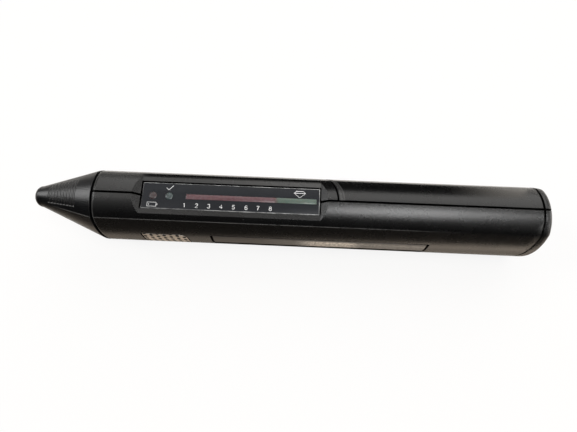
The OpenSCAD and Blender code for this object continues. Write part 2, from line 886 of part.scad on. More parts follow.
module display_window() {
    slack = fit_gap / 2;
    color([0.16, 0.17, 0.19]) difference() {
        block([window_x, -window_w / 2, window_low], [window_x + window_len, window_w / 2, window_top]);
        for (x = [low_lamp_x, ready_lamp_x])
            translate([x, 0, window_low - 1]) cylinder(h = window_t + 2, r = lamp_r + slack);
        bar_slot(bar_x, red_len, slack);
        bar_slot(green_x, green_len, slack);
    }
}

module bar_slot(x, len, slack) {
    block([x - slack, -bar_w / 2 - slack, window_low - 1], [x + len + slack, bar_w / 2 + slack, body_h]);
}

// A light bar: it stands in its slot on a foot that bears on the window's underside
module light_bar(x, len) {
    half = bar_w / 2;
    block([x, -half, board_top + bar_stand], [x + len, half, window_top]);
    block([x + bar_foot, -half - bar_foot, window_low - bar_foot_t],
          [x + len - bar_foot, half + bar_foot, window_low]);
}

module light_bar_red() {
    color([0.42, 0.24, 0.26]) light_bar(bar_x, red_len);
}

module light_bar_green() {
    color([0.3, 0.42, 0.36]) light_bar(green_x, green_len);
}

module bar_lamps() {
    color([0.95, 0.93, 0.85]) {
        lamp_row(bar_x, red_len, red_lamps);
        lamp_row(green_x, green_len, green_lamps);
    }
}

module lamp_row(x, len, n) {
    l = 1.6;
    w = 0.8;
    h = 0.7;
    for (i = [0 : n - 1]) translate([x + len * (i + 0.5) / n, 0, board_top])
        block([-l / 2, -w / 2, 0], [l / 2, w / 2, h]);
}

// A lamp that stands on the board and ends flush with the window
module lamp(x) {
    translate([x, 0, board_top]) {
        cylinder(h = 0.8, r = lamp_r + 0.3);
        cylinder(h = window_top - board_top, r = lamp_r);
    }
}

module ready_lamp() {
    color([0.36, 0.44, 0.41]) lamp(ready_lamp_x);
}

module low_battery_lamp() {
    color([0.4, 0.28, 0.29]) lamp(low_lamp_x);
}

// Circuit

module main_board() {
    color([0.1, 0.32, 0.18])
        block([board_x, -board_w / 2, board_low], [board_end, board_w / 2, board_top]);
}

// A chip under the board with its two rows of legs
module chip(x, l, w, n) {
    t = 1.5;
    block([x - l / 2, -w / 2, board_low - t - 0.1], [x + l / 2, w / 2, board_low - 0.1]);
    for (s = [-1, 1]) for (i = [0 : n - 1]) translate([x + l * ((i + 0.5) / n - 0.5), s * w / 2, board_low])
        block([-0.2, -0.7, -0.6], [0.2, 0.7, 0]);
}

module control_chip() {
    color([0.08, 0.08, 0.09]) chip(board_end - 14, 10, 5, 7);
}

module amplifier_chip() {
    color([0.08, 0.08, 0.09]) chip(board_x + 13, 5, 4, 4);
}

module buzzer() {
    x = (board_x + board_end) / 2;
    color([0.09, 0.09, 0.1]) translate([x, 0, board_low - buzzer_h]) difference() {
        cylinder(h = buzzer_h, r = buzzer_r);
        translate([0, 0, -1]) cylinder(h = 2, r = 0.8);
    }
}

// Side plates

module touch_plate() {
    last = floor((touch_len - 2 * dimple_edge) / dimple_pitch);
    color([0.72, 0.69, 0.65]) difference() {
        near_skin(0, touch_t) touch_outline();
        for (c = [0 : last]) for (k = [-2 : 2]) {
            x = touch_x + dimple_edge + c * dimple_pitch;
            up = dimple_rise * (k + (c + 1) % 2 / 2);
            past = [max(0, x - round_x), max(0, abs(up) - touch_h / 2 + touch_round)];
            if (norm(past) < touch_round - dimple_r - dimple_rim)
                rod_y(-body_w, -half_w + touch_t / 2 + pow(up, 2) / (2 * side_r), x, mid_z + up, dimple_r);
        }
    }
}

// Rivet that carries the touch plate's signal inside
module touch_contact() {
    head = 1.1;
    color([0.82, 0.7, 0.42]) {
        rod_y(-half_w + touch_t + tiny, -wall_in + head, rivet_x, mid_z, rivet_r);
        rod_y(-wall_in + 0.1, -wall_in + head, rivet_x, mid_z, 2 * rivet_r);
    }
}

module name_plate() {
    color([0.2, 0.19, 0.19]) near_skin(0, name_t) name_outline();
}

// Power switch

module switch_case() {
    color([0.25, 0.26, 0.28]) difference() {
        block([switch_x - switch_len / 2, switch_y - switch_t, mid_z - switch_h / 2],
              [switch_x + switch_len / 2, switch_y, mid_z + switch_h / 2]);
        block([switch_x - slot_l / 2, switch_y - stem_in - play, mid_z - stem_h / 2 - play],
              [switch_x + slot_l / 2, switch_y + 1, mid_z + stem_h / 2 + play]);
    }
}

module switch_knob() {
    color([0.3, 0.3, 0.31]) difference() {
        union() {
            intersection() {
                along_x(knob_x - knob_len / 2, knob_x + knob_len / 2) difference() {
                    section(0);
                    section(pad_t);
                }
                block([-big, half_w / 2, mid_z - knob_h / 2], [big, body_w, mid_z + knob_h / 2]);
            }
            block([knob_x - stem_l / 2, switch_y - stem_in, mid_z - stem_h / 2],
                  [knob_x + stem_l / 2, half_w - pad_t / 2, mid_z + stem_h / 2]);
        }
        for (i = [-1 : 1]) translate([knob_x + i * 1.3, 0, 0])
            block([-0.25, half_w - 0.35, mid_z - knob_h], [0.25, body_w, mid_z + knob_h]);
    }
}

// Battery bay

// A cell with its button towards -X when facing is -1 and +X when it is 1
module cell(facing, z) {
    x0 = facing < 0 ? bay_x + contact_t + button_len : bay_x + contact_t + spring_len;
    button_x = facing < 0 ? x0 - button_len : x0 + cell_len;
    rod_x(x0, x0 + cell_len, 0, z, cell_r);
    rod_x(button_x - tiny * (facing + 1) / 2, button_x + button_len + tiny * (1 - facing) / 2,
          0, z, button_r);
}

module cell_upper() {
    color([0.72, 0.55, 0.2]) cell(-1, cell_zs[1]);
}

module cell_lower() {
    color([0.72, 0.55, 0.2]) cell(1, cell_zs[0]);
}

module cell_springs() {
    low_x = bay_x + contact_t;
    high_x = bay_end - contact_t;
    color([0.75, 0.76, 0.78]) {
        translate([0, 0, cell_zs[0]]) coil(low_x + 0.02, low_x + spring_len - 0.02,
            coil_wide, coil_narrow, spring_turns, spring_wire_r);
        translate([0, 0, cell_zs[1]]) coil(high_x - spring_len + 0.02, high_x - 0.02,
            coil_narrow, coil_wide, spring_turns, spring_wire_r);
    }
}

module front_contacts() {
    color([0.75, 0.76, 0.78]) for (z = cell_zs) {
        block([bay_x, -contact_half, z - contact_half],
              [bay_x + contact_t, contact_half, z + contact_half]);
        rod_x(bay_x - bay_wall - stud_out, bay_x + tiny, 0, z, stud_r);
    }
}

module link_contact() {
    color([0.75, 0.76, 0.78]) {
        block([bay_end - contact_t, -contact_half, cell_zs[0] - contact_half],
              [bay_end, contact_half, cell_zs[1] + contact_half]);
        rod_x(bay_end - tiny, bay_back + stud_out / 2, 0, body_h / 2, stud_r);
    }
}

module battery_leads() {
    x = bay_x - bay_wall - stud_out;
    bend = x - lead_back;
    color([0.12, 0.12, 0.13]) {
        wire([[x, 0, cell_zs[1]], [bend, 0, cell_zs[1]], [bend, 0, board_low]], lead_r);
        wire([[x, 0, cell_zs[0]], [bend, 0, cell_zs[0]], [bend, lead_out, cell_zs[0] + lead_rise],
              [bend, lead_out, board_low]], lead_r);
    }
}

// Power socket

module power_socket() {
    end = rear_x - socket_sink;
    color([0.2, 0.2, 0.21]) difference() {
        union() {
            rod_x(bay_back, rear_in_x, -socket_out, mid_z, socket_r);
            rod_x(rear_in_x - tiny, end, -socket_out, mid_z, socket_neck_r);
        }
        rod_x(end - socket_depth, end + 1, -socket_out, mid_z, socket_bore_r);
    }
}

module socket_lead() {
    x = bay_x - bay_wall - 3.6;
    bend = x - 1.5;
    inner = socket_lead_y + 3.2;
    color([0.12, 0.12, 0.13]) wire([
        [bend, inner, board_low], [bend, inner, mid_z + 4], [x, socket_lead_y, mid_z],
        [bay_back, socket_lead_y, mid_z]
    ], socket_lead_r);
}

// Screws

module case_screws() {
    color([0.6, 0.61, 0.63]) for (x = screw_xs) difference() {
        union() {
            rod_y(screw_seat - screw_len, screw_seat + tiny, x, screw_z, screw_r);
            rod_y(screw_seat, screw_seat + screw_head_t, x, screw_z, screw_head_r);
        }
        for (turn = [0, 90]) translate([x, screw_seat + screw_head_t, screw_z]) rotate([0, turn, 0])
            block([-screw_slot_l / 2, -screw_slot_depth, -screw_slot_w / 2],
                  [screw_slot_l / 2, screw_head_t, screw_slot_w / 2]);
    }
}

near_shell();
far_shell();
battery_cover();
probe_cap();
probe_nose();
probe_tip();
probe_heater();
probe_spring();
probe_plug();
probe_leads();
display_window();
light_bar_red();
light_bar_green();
bar_lamps();
ready_lamp();
low_battery_lamp();
main_board();
control_chip();
amplifier_chip();
buzzer();
touch_plate();
touch_contact();
name_plate();
switch_case();
switch_knob();
cell_upper();
cell_lower();
cell_springs();
front_contacts();
link_contact();
battery_leads();
power_socket();
socket_lead();
case_screws();
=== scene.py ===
"""Looks of a pocket diamond tester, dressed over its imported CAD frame.

Laid out as an add-on: property groups hold the sizes and colours, an operator
makes each group of like pieces, and main() runs the operators in order.
"""

import math
from functools import partialmethod

import bpy
from bpy.props import FloatProperty, FloatVectorProperty, IntProperty, PointerProperty
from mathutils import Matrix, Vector


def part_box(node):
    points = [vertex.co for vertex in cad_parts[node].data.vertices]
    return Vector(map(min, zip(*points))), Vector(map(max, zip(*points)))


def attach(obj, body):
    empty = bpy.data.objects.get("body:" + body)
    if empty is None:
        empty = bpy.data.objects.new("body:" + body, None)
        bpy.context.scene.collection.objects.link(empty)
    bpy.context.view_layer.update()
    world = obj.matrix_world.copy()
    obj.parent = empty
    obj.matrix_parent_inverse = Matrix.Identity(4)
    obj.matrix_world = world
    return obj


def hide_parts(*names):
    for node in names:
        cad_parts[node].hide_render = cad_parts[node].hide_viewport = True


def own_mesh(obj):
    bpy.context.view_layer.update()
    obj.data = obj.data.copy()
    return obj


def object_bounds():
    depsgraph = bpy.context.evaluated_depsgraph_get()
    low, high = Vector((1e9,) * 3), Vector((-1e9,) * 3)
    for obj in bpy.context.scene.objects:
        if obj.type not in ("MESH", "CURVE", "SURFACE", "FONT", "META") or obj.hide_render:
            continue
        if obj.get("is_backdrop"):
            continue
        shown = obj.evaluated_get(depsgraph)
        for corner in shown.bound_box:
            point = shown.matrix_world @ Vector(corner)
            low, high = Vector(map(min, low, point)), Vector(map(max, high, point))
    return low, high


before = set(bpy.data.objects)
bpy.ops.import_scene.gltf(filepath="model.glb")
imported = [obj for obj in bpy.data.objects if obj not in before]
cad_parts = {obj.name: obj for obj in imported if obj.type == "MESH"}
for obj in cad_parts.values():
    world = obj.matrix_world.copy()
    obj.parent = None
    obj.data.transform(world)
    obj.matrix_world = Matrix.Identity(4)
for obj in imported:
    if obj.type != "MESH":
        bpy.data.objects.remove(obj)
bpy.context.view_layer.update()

bl_info = {
    "name": "Pocket Diamond Tester",
    "version": (1, 0, 0),
    "blender": (4, 5, 0),
    "location": "View3D > Sidebar > Tester",
    "description": "Finishes, printed signs, cap and stage of a pocket diamond tester",
    "category": "Object",
}

MM = 0.001
EDGE_ROUND = 0.08 * MM
# How far a painted shade line stands off its plate and runs past it, and the full part of a painted
# line's width
LINE_OFF, LINE_PAST, LINE_CORE = 0.1 * MM, 0.3 * MM, 0.36
# How strongly the painted highlight lines along the creases, the lip, the cover's lap and the
# ridged band's border are laid on
CREASE_HIGHLIGHT, LIP_HIGHLIGHT, LAP_HIGHLIGHT, BAND_HIGHLIGHT = 0.6, 0.3, 0.2, 0.55
DUST = (0.3, 0.29, 0.28)
# Colour of the painted shade down in seams, grooves and gaps
SEAM_SHADE = (0.001, 0.001, 0.001)
WHITE = (1, 1, 1, 1)
WARM_WHITE = (1, 0.985, 0.96, 1)


# Properties


def mm(name, description, millimetres):
    """A length property with its default in millimetres."""
    return FloatProperty(
        name=name, description=description, default=millimetres * MM, unit="LENGTH", precision=5
    )


def amount(name, description, value, unit="NONE"):
    """A plain or measured number."""
    return FloatProperty(name=name, description=description, default=value, unit=unit)


def whole(name, description, value):
    """A count."""
    return IntProperty(name=name, description=description, default=value, min=1)


def triple(name, description, value, subtype="COLOR"):
    """A colour, a place or a turn."""
    return FloatVectorProperty(name=name, description=description, default=value, subtype=subtype)


class TesterCap(bpy.types.PropertyGroup):
    """Sizes of the pull-off cap."""

    crease_width: mm("Crease width", "Distance between the creases at the seam", 14.2)
    crease_drop: mm("Crease drop", "Drop from the ridge to the creases", 2.7)
    land_width: mm("Land width", "Width of the flat underside", 9.8)
    nose_radius: mm("Nose radius", "Radius of the nose", 3.2)
    nose_round: mm("Nose round", "Round on the edge of the nose", 2.0)
    nose_drop: mm("Nose drop", "Drop from the ridge to the axis of the nose", 7.2)
    wall_inset: mm("Wall inset", "Step from the outside in to the socket", 2.8)
    socket_floor: mm("Socket floor", "Height of the socket's flat floor", 4.7)
    socket_depth: mm("Socket depth", "Depth of the straight part of the socket", 2.9)
    end_thickness: mm("End thickness", "Thickness at the end of the nose", 2.5)
    hollow_radius: mm("Hollow radius", "Radius of the hollow at the nose", 1.7)
    edge_round: mm("Edge round", "Round on the edge at the seam", 0.06)
    seam_reach: mm("Seam reach", "How far the cap reaches into its seam", 0.18)
    ridge_count: whole("Ridges", "Number of grip ridges", 9)
    ridge_pitch: mm("Ridge pitch", "Spacing of the grip ridges", 1.05)
    ridge_start: mm("Ridge start", "Distance from the seam to the first slot", 4.64)
    ridge_depth: mm("Ridge depth", "Depth of the slots between the ridges", 0.1)
    ridge_reach: mm("Ridge reach", "Half width of the ridged band at the nose", 1.85)
    ridge_spread: amount("Ridge spread", "Widening of the ridged band towards the seam", 0.17)
    columns: whole("Columns", "Points round the cap", 288)


class TesterHousing(bpy.types.PropertyGroup):
    """Sizes of the lines on the housing, and of the probe's spring."""

    # Dark lines below are painted shade in the seams, the rear groove and the gaps round the cover,
    # the side plates and the window
    seam_width: mm("Seam width", "Width of the dark line along the parting seam", 0.74)
    groove_back: mm("Groove place", "From the rear end to the rear groove at the top", 2.7)
    groove_lean: mm("Groove lean", "How far the rear groove leans ahead at the underside", 2.4)
    groove_width: mm("Groove width", "Width of the dark line along the rear groove", 0.78)
    cover_bow: mm("Cover bow", "Radius of the cover's bowed edge", 19.3)
    cover_gap: mm("Cover gap", "Gap along the cover's bowed edge", 0.3)
    cover_line: mm("Cover line", "Width of the dark line along the cover's bowed edge", 0.56)
    # The cover's lap is a painted highlight
    lap_back: mm("Lap place", "From the cover's edge back to its rubbed lap", 0.85)
    lap_width: mm("Lap width", "Width of that rubbed lap", 1.0)
    plate_line: mm("Plate line", "Width of the dark lines at the ends of the side plates", 0.85)
    touch_round: mm("Touch plate round", "Corner radius at the touch plate's rear end", 2.5)
    # The channel along the name strip's foot is painted shadow, like the shade of a channel
    strip_foot: mm("Strip foot", "Height of the dark channel along the name strip's foot", 2.9)
    strip_lap: mm("Strip lap", "How far that channel laps the strip", 0.9)
    window_gap: mm("Window gap", "Width of the dark line round the window", 0.4)
    # The line along the lip is a painted highlight
    lip_back: mm("Lip place", "From the cap to the rubbed line along the housing's lip", 1.0)
    lip_width: mm("Lip width", "Width of that rubbed line", 0.4)
    # The rubbing of the creases is a painted highlight; the round that softens them is in the
    # shading normal
    crease_full: mm("Crease full", "Where the rubbing of the creases begins to fade", 25.0)
    crease_gone: mm("Crease gone", "Where that rubbing has faded", 55.0)
    crease_soft: mm("Crease soft", "Where the creases are softest", 62.0)
    crease_round: mm("Crease round", "Round that softens the creases there", 2.8)
    dimple_edge: mm("Dimple edge", "From the touch plate's end to its first dimples", 0.6)
    dimple_pitch: mm("Dimple pitch", "Spacing of the dimples along the touch plate", 1.97)
    dimple_rise: mm("Dimple rise", "Spacing of the dimples up the touch plate", 1.9)
    dimple_radius: mm("Dimple radius", "Radius of the dimples", 0.42)
    spring_wire: mm("Spring wire", "Radius of the probe spring's wire", 0.2)
    spring_turns: whole("Spring turns", "Turns of the probe spring", 8)
    spring_give: mm("Spring give", "How far the probe spring shortens", 1.2)


class TesterSigns(bpy.types.PropertyGroup):
    """Sizes of the window, its lamps and its printed signs."""

    window_edge: mm("Window edge", "Bevel round the window's top", 0.28)
    lamp_radius: mm("Lamp radius", "Radius of the two lamps", 1.1)
    lamp_rim: mm("Lamp rim", "Drop from a lamp's box to the rim of its dome", 0.15)
    lamp_dome: mm("Lamp dome", "Height of a lamp's dome", 0.22)
    bar_width: mm("Bar width", "Width of the light bars", 1.5)
    bar_ease: mm("Bar edge", "Bevel along the light bars' upper edges", 0.06)
    bar_part: mm("Bar part", "Half of the fine gap between the light bars", 0.01)
    foot_height: mm("Foot height", "Height of the light bars' feet", 0.6)
    fit_gap: mm("Fit gap", "Gap round a lamp or bar in the window", 0.06)
    digit_count: whole("Numbers", "Numbers on the scale", 8)
    digit_height: mm("Number height", "Height of a number", 1.18)
    digit_width: amount("Number width", "Widening of the numbers", 1.1)
    digit_pitch: mm("Number pitch", "Spacing of the numbers", 3.54)
    digit_in: mm("Number start", "From the red bar's start to the first number", -0.3)
    digit_low: mm("Number drop", "From the bars' middle to the numbers' middle", 2.62)
    print_height: mm("Print height", "Thickness of the printed signs", 0.04)
    stroke: mm("Stroke", "Width of a sign's line", 0.17)
    digit_stroke: mm("Number stroke", "Width of a number's line", 0.14)


class TesterFinish(bpy.types.PropertyGroup):
    """Colours of the finishes."""

    housing: triple("Housing", "Moulded plastic of the housing", (0.0028, 0.0028, 0.0029))
    cap: triple("Cap", "Moulded plastic of the cap", (0.003, 0.0031, 0.0035))
    # Also laid on as the painted highlight lines along the creases, the lip, the cover's lap, the
    # cap's ridged band and beyond the window's far side
    edge: triple("Edge", "Rubbed edges of the plastic", (0.15, 0.148, 0.145))
    window: triple("Window", "Smoked window", (0.0132, 0.0144, 0.017))
    red: triple("Red", "Unlit red bar", (0.083, 0.027, 0.034))
    green: triple("Green", "Unlit green bar", (0.062, 0.096, 0.073))
    ready: triple("Ready lamp", "Unlit ready lamp", (0.028, 0.043, 0.043))
    low: triple("Low lamp", "Unlit low battery lamp", (0.022, 0.0095, 0.011))
    sign: triple("Sign", "Printed numbers and signs", (0.94, 0.94, 0.93))
    touch: triple("Touch plate", "Metal of the touch plate", (0.86, 0.79, 0.71))
    strip: triple("Name strip", "Blank name strip", (0.006, 0.0056, 0.0052))
    # Light metallic colour of the foil, laid on where the strip shows a painted highlight of glare
    foil: triple("Foil", "Rubbed foil of the name strip", (0.72, 0.69, 0.65))


class TesterStage(bpy.types.PropertyGroup):
    """Camera, lamps and floor."""

    camera_place: triple(
        "Camera place", "Where the camera stands",
        (2.985 * MM, -39.72 * MM, 142.48 * MM), "TRANSLATION",
    )
    camera_turn: triple(
        "Camera turn", "How the camera is turned",
        tuple(math.radians(a) for a in (16.609, 0.325, 2.601)), "EULER",
    )
    camera_lens: amount("Lens", "Focal length", 27.08, "CAMERA")
    floor_size: amount("Floor size", "Side of the floor", 6.0, "LENGTH")
    key_power: amount("Key power", "Power of the lamp over the tester", 5.3, "POWER")
    fill_power: amount("Fill power", "Power of the wide lamp behind", 7.0, "POWER")
    fill_glow: amount("Fill glow", "Strength of the panel behind", 2.0)
    side_power: amount("Side power", "Power of the lamp beside the nose", 3.0, "POWER")
    room_light: amount("Room light", "Strength of the room", 0.4)


# Modelling helpers


def only(obj):
    """Makes obj the one selected and active object."""
    bpy.ops.object.select_all(action="DESELECT")
    obj.select_set(True)
    bpy.context.view_layer.objects.active = obj


def named(name):
    """Names the object that was just added, and its mesh."""
    obj = bpy.context.object
    obj.name = name
    obj.data.name = name
    return obj


def settle(obj):
    """Moves the object's place into its mesh."""
    only(obj)
    bpy.ops.object.transform_apply(location=True, rotation=True, scale=True)
    return obj


def box_between(name, low, high):
    """A box from its low to its high corner."""
    low, high = Vector(low), Vector(high)
    bpy.ops.object.select_all(action="DESELECT")
    bpy.ops.mesh.primitive_cube_add(size=1, location=(low + high) / 2)
    obj = named(name)
    obj.scale = high - low
    return settle(obj)


def eased_box(name, low, high, ease, segments):
    """A box whose upper edges are bevelled."""
    obj = box_between(name, low, high)
    mesh = obj.data
    top = max(spot.co.z for spot in mesh.vertices) - 0.01 * MM
    bpy.ops.object.mode_set(mode="EDIT")
    bpy.ops.mesh.select_mode(type="EDGE")
    bpy.ops.mesh.select_all(action="DESELECT")
    bpy.ops.object.mode_set(mode="OBJECT")
    for edge in mesh.edges:
        edge.select = all(mesh.vertices[i].co.z > top for i in edge.vertices)
    bpy.ops.object.mode_set(mode="EDIT")
    bpy.ops.mesh.bevel(offset=ease, segments=segments, affect="EDGES")
    bpy.ops.object.mode_set(mode="OBJECT")
    return obj


def skin(name, rings):
    """A closed skin over a stack of rings, from a grid that is wrapped round them."""
    columns, rows = len(rings[0]), len(rings)
    bpy.ops.object.select_all(action="DESELECT")
    bpy.ops.mesh.primitive_grid_add(x_subdivisions=columns, y_subdivisions=rows - 1, size=1)
    obj = named(name)
    points = [point for ring in rings for point in (*ring, ring[0])]
    obj.data.vertices.foreach_set("co", [value for point in points for value in point])
    only(obj)
    bpy.ops.object.mode_set(mode="EDIT")
    bpy.ops.mesh.select_all(action="SELECT")
    bpy.ops.mesh.remove_doubles(threshold=0.002 * MM)
    bpy.ops.mesh.normals_make_consistent(inside=False)
    bpy.ops.object.mode_set(mode="OBJECT")
    return obj


def combine(obj, other, operation):
    """Cuts another object out of obj or joins it on, and removes it."""
    only(obj)
    tool = obj.modifiers.new("combine", "BOOLEAN")
    tool.operation, tool.solver, tool.object = operation, "EXACT", other
    bpy.ops.object.modifier_apply(modifier=tool.name)
    bpy.data.objects.remove(other)


def present(obj, body, paint, smooth=30):
    """Finishes a piece: shading, material and the body that it rides on."""
    only(obj)
    bpy.ops.object.shade_smooth_by_angle(angle=math.radians(smooth))
    obj.data.materials.clear()
    obj.data.materials.append(paint.material)
    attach(obj, body)


def dress(paint, *nodes):
    """Gives CAD nodes a material."""
    for name in nodes:
        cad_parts[name].material_slots[0].material = paint.material


# Shader helpers


class Value:
    """A node's output, on which plain arithmetic adds Math nodes."""

    def __init__(self, socket):
        self.socket, self.tree = socket, socket.id_data

    def math(self, operation, *others):
        """A Math node's result, with this value first."""
        return calculate(self.tree, operation, self, *others)

    def __rsub__(self, other):
        return calculate(self.tree, "SUBTRACT", other, self)

    __add__ = partialmethod(math, "ADD")
    __sub__ = partialmethod(math, "SUBTRACT")
    __mul__ = partialmethod(math, "MULTIPLY")
    __truediv__ = partialmethod(math, "DIVIDE")
    __lt__ = partialmethod(math, "LESS_THAN")
    __gt__ = partialmethod(math, "GREATER_THAN")
    __abs__ = partialmethod(math, "ABSOLUTE")
    # The greater of two values joins two masks
    __or__ = partialmethod(math, "MAXIMUM")

    def spread(self, low, high, to_low=0.0, to_high=1.0):
        """The value's range mapped smoothly to another range."""
        return result(
            self.tree, "ShaderNodeMapRange", "Result", {"interpolation_type": "SMOOTHSTEP"},
            Value=self, From_Min=low, From_Max=high, To_Min=to_low, To_Max=to_high,
        )


def connect(socket, value):
    """Links a Value to a socket, or sets the socket's own value."""
    if isinstance(value, Value):
        socket.id_data.links.new(value.socket, socket)
    else:
        socket.default_value = value


def add_node(tree, kind, settings=(), **inputs):
    """Adds a node with its settings and inputs."""
    made = tree.nodes.new(kind)
    for key, value in dict(settings).items():
        setattr(made, key, value)
    for key, value in inputs.items():
        connect(made.inputs[key.replace("_", " ")], value)
    return made


def result(tree, kind, output, settings=(), **inputs):
    """The output of a new node."""
    return Value(add_node(tree, kind, settings, **inputs).outputs[output])


def fill(node, *values):
    """Gives a node's first inputs their values."""
    for socket, value in zip(node.inputs, values):
        connect(socket, value)
    return node


def calculate(tree, operation, *values):
    """A Math node's result."""
    made = add_node(tree, "ShaderNodeMath", {"operation": operation})
    return Value(fill(made, *values).outputs[0])


def hypotenuse(first, second):
    """The length of a step with two parts."""
    return (first * first + second * second).math("SQRT")


def line(off, width, strength=1.0):
    """A mask of a line of some width, from the distance off its middle."""
    return abs(off).spread(width / 2, LINE_CORE * width, 0.0, strength)


def past(value, low, high):
    """How far a value is past a range."""
    return abs(value - (low + high) / 2) - (high - low) / 2


def blend(factor, first, second):
    """A mix of two colours."""
    made = add_node(factor.tree, "ShaderNodeMix", {"data_type": "RGBA"}, Factor=factor)
    for socket, value in zip([s for s in made.inputs if s.type == "RGBA"], (first, second)):
        connect(socket, value if isinstance(value, Value) else (*value, 1)[:4])
    return Value([s for s in made.outputs if s.type == "RGBA"][0])


def scaled(tone, share):
    """A lighter or darker tone."""
    return [share * part for part in tone]


def bump(height, strength, distance, **normal):
    """A Bump node's normal."""
    return result(
        height.tree, "ShaderNodeBump", "Normal", Height=height, Strength=strength,
        Distance=distance, **normal,
    )


def split(vector):
    """The X, Y and Z of a vector."""
    made = add_node(vector.tree, "ShaderNodeSeparateXYZ", Vector=vector)
    return [Value(output) for output in made.outputs]


def place(tree):
    """The Object coordinate."""
    return result(tree, "ShaderNodeTexCoord", "Object")


def facing(tree):
    """The way that a face looks."""
    return result(tree, "ShaderNodeNewGeometry", "Normal")


def noise(tree, scale, detail=2.0, roughness=0.5, vector=None):
    """Noise on Object coordinates, in features per metre."""
    return result(
        tree, "ShaderNodeTexNoise", "Fac", Vector=vector or place(tree),
        Scale=scale, Detail=detail, Roughness=roughness,
    )


# Shared effects


def draw_grain(tree, scale):
    """Fine grain of a moulded surface, and its uneven gloss."""
    pits = result(tree, "ShaderNodeTexVoronoi", "Distance", Vector=place(tree), Scale=scale * 0.8)
    height = noise(tree, scale) * 0.4 + pits * 0.3 + noise(tree, scale * 0.5, 1.0) * 0.6
    return height, noise(tree, 160.0, 4.0, 0.6).spread(0.3, 0.7, -1.0, 1.0)


def draw_edges(tree, radius):
    """A mask of where edges are rubbed, and the normal that rounds them."""
    rounded = result(tree, "ShaderNodeBevel", "Normal", {"samples": 6}, Radius=radius)
    dot = add_node(tree, "ShaderNodeVectorMath", {"operation": "DOT_PRODUCT"})
    turned = Value(fill(dot, rounded, facing(tree)).outputs["Value"]).spread(0.985, 0.93)
    patchy = noise(tree, 700.0, 3.0, 0.65).spread(0.25, 0.62)
    return turned * patchy, rounded


def draw_crease(tree, across, up, reach):
    """A mask of a painted highlight line along a crease, that runs at a distance across and a
    height up.
    """
    _, y, z = split(place(tree))
    near = hypotenuse(abs(y) - across, z - up).spread(reach, reach * 0.35)
    patchy = noise(tree, 500.0, 4.0, 0.7).spread(0.2, 0.6, 0.25, 1.0)
    return [near * patchy]


def draw_specks(tree, share):
    """Fine specks of dust on upper faces."""
    cells = result(tree, "ShaderNodeTexVoronoi", "Distance", Vector=place(tree), Scale=700.0)
    rare = noise(tree, 420.0, 1.0).spread(0.6, 0.68)
    up = split(facing(tree))[2].spread(0.2, 0.8)
    return [cells.spread(0.1, 0.05) * rare * up * share]


def draw_brushing(tree, scale):
    """Fine lines of a brushed metal, along X."""
    stretched = result(tree, "ShaderNodeMapping", "Vector", Vector=place(tree), Scale=(1, 22, 22))
    lines = noise(tree, scale, 3.0, 0.6, stretched)
    return lines, lines.spread(0.3, 0.7, -1.0, 1.0)


EFFECTS = (
    ("moulded_grain", draw_grain, {"Scale": 5000.0}, ("Height", "Gloss")),
    ("rubbed_edges", draw_edges, {"Radius": EDGE_ROUND}, ("Rub", "Normal")),
    # A painted highlight line along a crease
    ("crease_highlight", draw_crease, {"Across": 7 * MM, "Up": 23 * MM, "Reach": 0.2 * MM}, ("Rub",)),
    ("dust_specks", draw_specks, {"Amount": 0.5}, ("Dust",)),
    ("brushed_lines", draw_brushing, {"Scale": 300.0}, ("Height", "Tone")),
)


def make_effects():
    """Makes the shared effects: node groups that put out masks, values and a normal."""
    for name, draw, inputs, outputs in EFFECTS:
        tree = bpy.data.node_groups.new(name, "ShaderNodeTree")
        for label, value in inputs.items():
            socket = tree.interface.new_socket(
                label, in_out="INPUT", socket_type="NodeSocketFloat")
            socket.default_value = value
        for label in outputs:
            kind = "NodeSocketVector" if label == "Normal" else "NodeSocketFloat"
            tree.interface.new_socket(label, in_out="OUTPUT", socket_type=kind)
        given = tree.nodes.new("NodeGroupInput").outputs
        values = draw(tree, *[Value(given[label]) for label in inputs])
        fill(tree.nodes.new("NodeGroupOutput"), *values)


# Materials


class Paint:
    """A material with one Principled shader."""

    def __init__(self, name, **sockets):
        self.material = bpy.data.materials.new(name)
        self.material.use_nodes = True
        self.tree = self.material.node_tree
        self.sockets = self.tree.nodes["Principled BSDF"].inputs
        self.groups = {}
        self.put(**sockets)

    def put(self, **sockets):
        """Gives the shader's inputs a value or a link."""
        for key, value in sockets.items():
            connect(self.sockets[key.replace("_", " ")], value)
        return self

    def linked(self, key):
        """What is linked to an input of the shader."""
        return Value(self.sockets[key].links[0].from_socket)

    def axes(self):
        """The X, Y and Z of the Object coordinate."""
        return split(place(self.tree))

    def noise(self, *settings):
        """Noise on Object coordinates."""
        return noise(self.tree, *settings)

    def effect(self, name, **inputs):
        """A shared effect's outputs, with values of its own."""
        group = {"node_tree": bpy.data.node_groups[name]}
        self.groups[name] = add_node(self.tree, "ShaderNodeGroup", group, **inputs)
        return {output.name: Value(output) for output in self.groups[name].outputs}

    def wear(self, mask, tone):
        """Lays one more tone over the colour, by a mask."""
        self.put(Base_Color=blend(mask, self.linked("Base Color"), tone))

    def paint_shade(self, mask):
        """Paints shade by a mask: makes the surface dark, dull and free of gloss, as down in a
        narrow seam.
        """
        self.wear(mask, SEAM_SHADE)
        dull = self.linked("Roughness")
        self.put(Roughness=mask * (0.95 - dull) + dull)
        if self.sockets["Metallic"].is_linked:
            mask = mask | self.linked("Metallic")
        self.put(Metallic=mask)


def moulded_plastic(name, tone, rubbed, roughness, grain=5200.0, depth=0.03, rub=0.04):
    """Satin moulded plastic with grain, rounded edges, light rubbing and dust."""
    paint = Paint(name, IOR=1.5, Specular_IOR_Level=0.5)
    texture = paint.effect("moulded_grain", Scale=grain)
    edges = paint.effect("rubbed_edges", Radius=EDGE_ROUND)
    worn = blend(edges["Rub"] * rub, tone, rubbed)
    return paint.put(
        Base_Color=blend(paint.effect("dust_specks", Amount=0.35)["Dust"], worn, DUST),
        Roughness=texture["Gloss"] * 0.02 + roughness,
        Normal=bump(texture["Height"], 0.6, depth * MM, Normal=edges["Normal"]),
    )


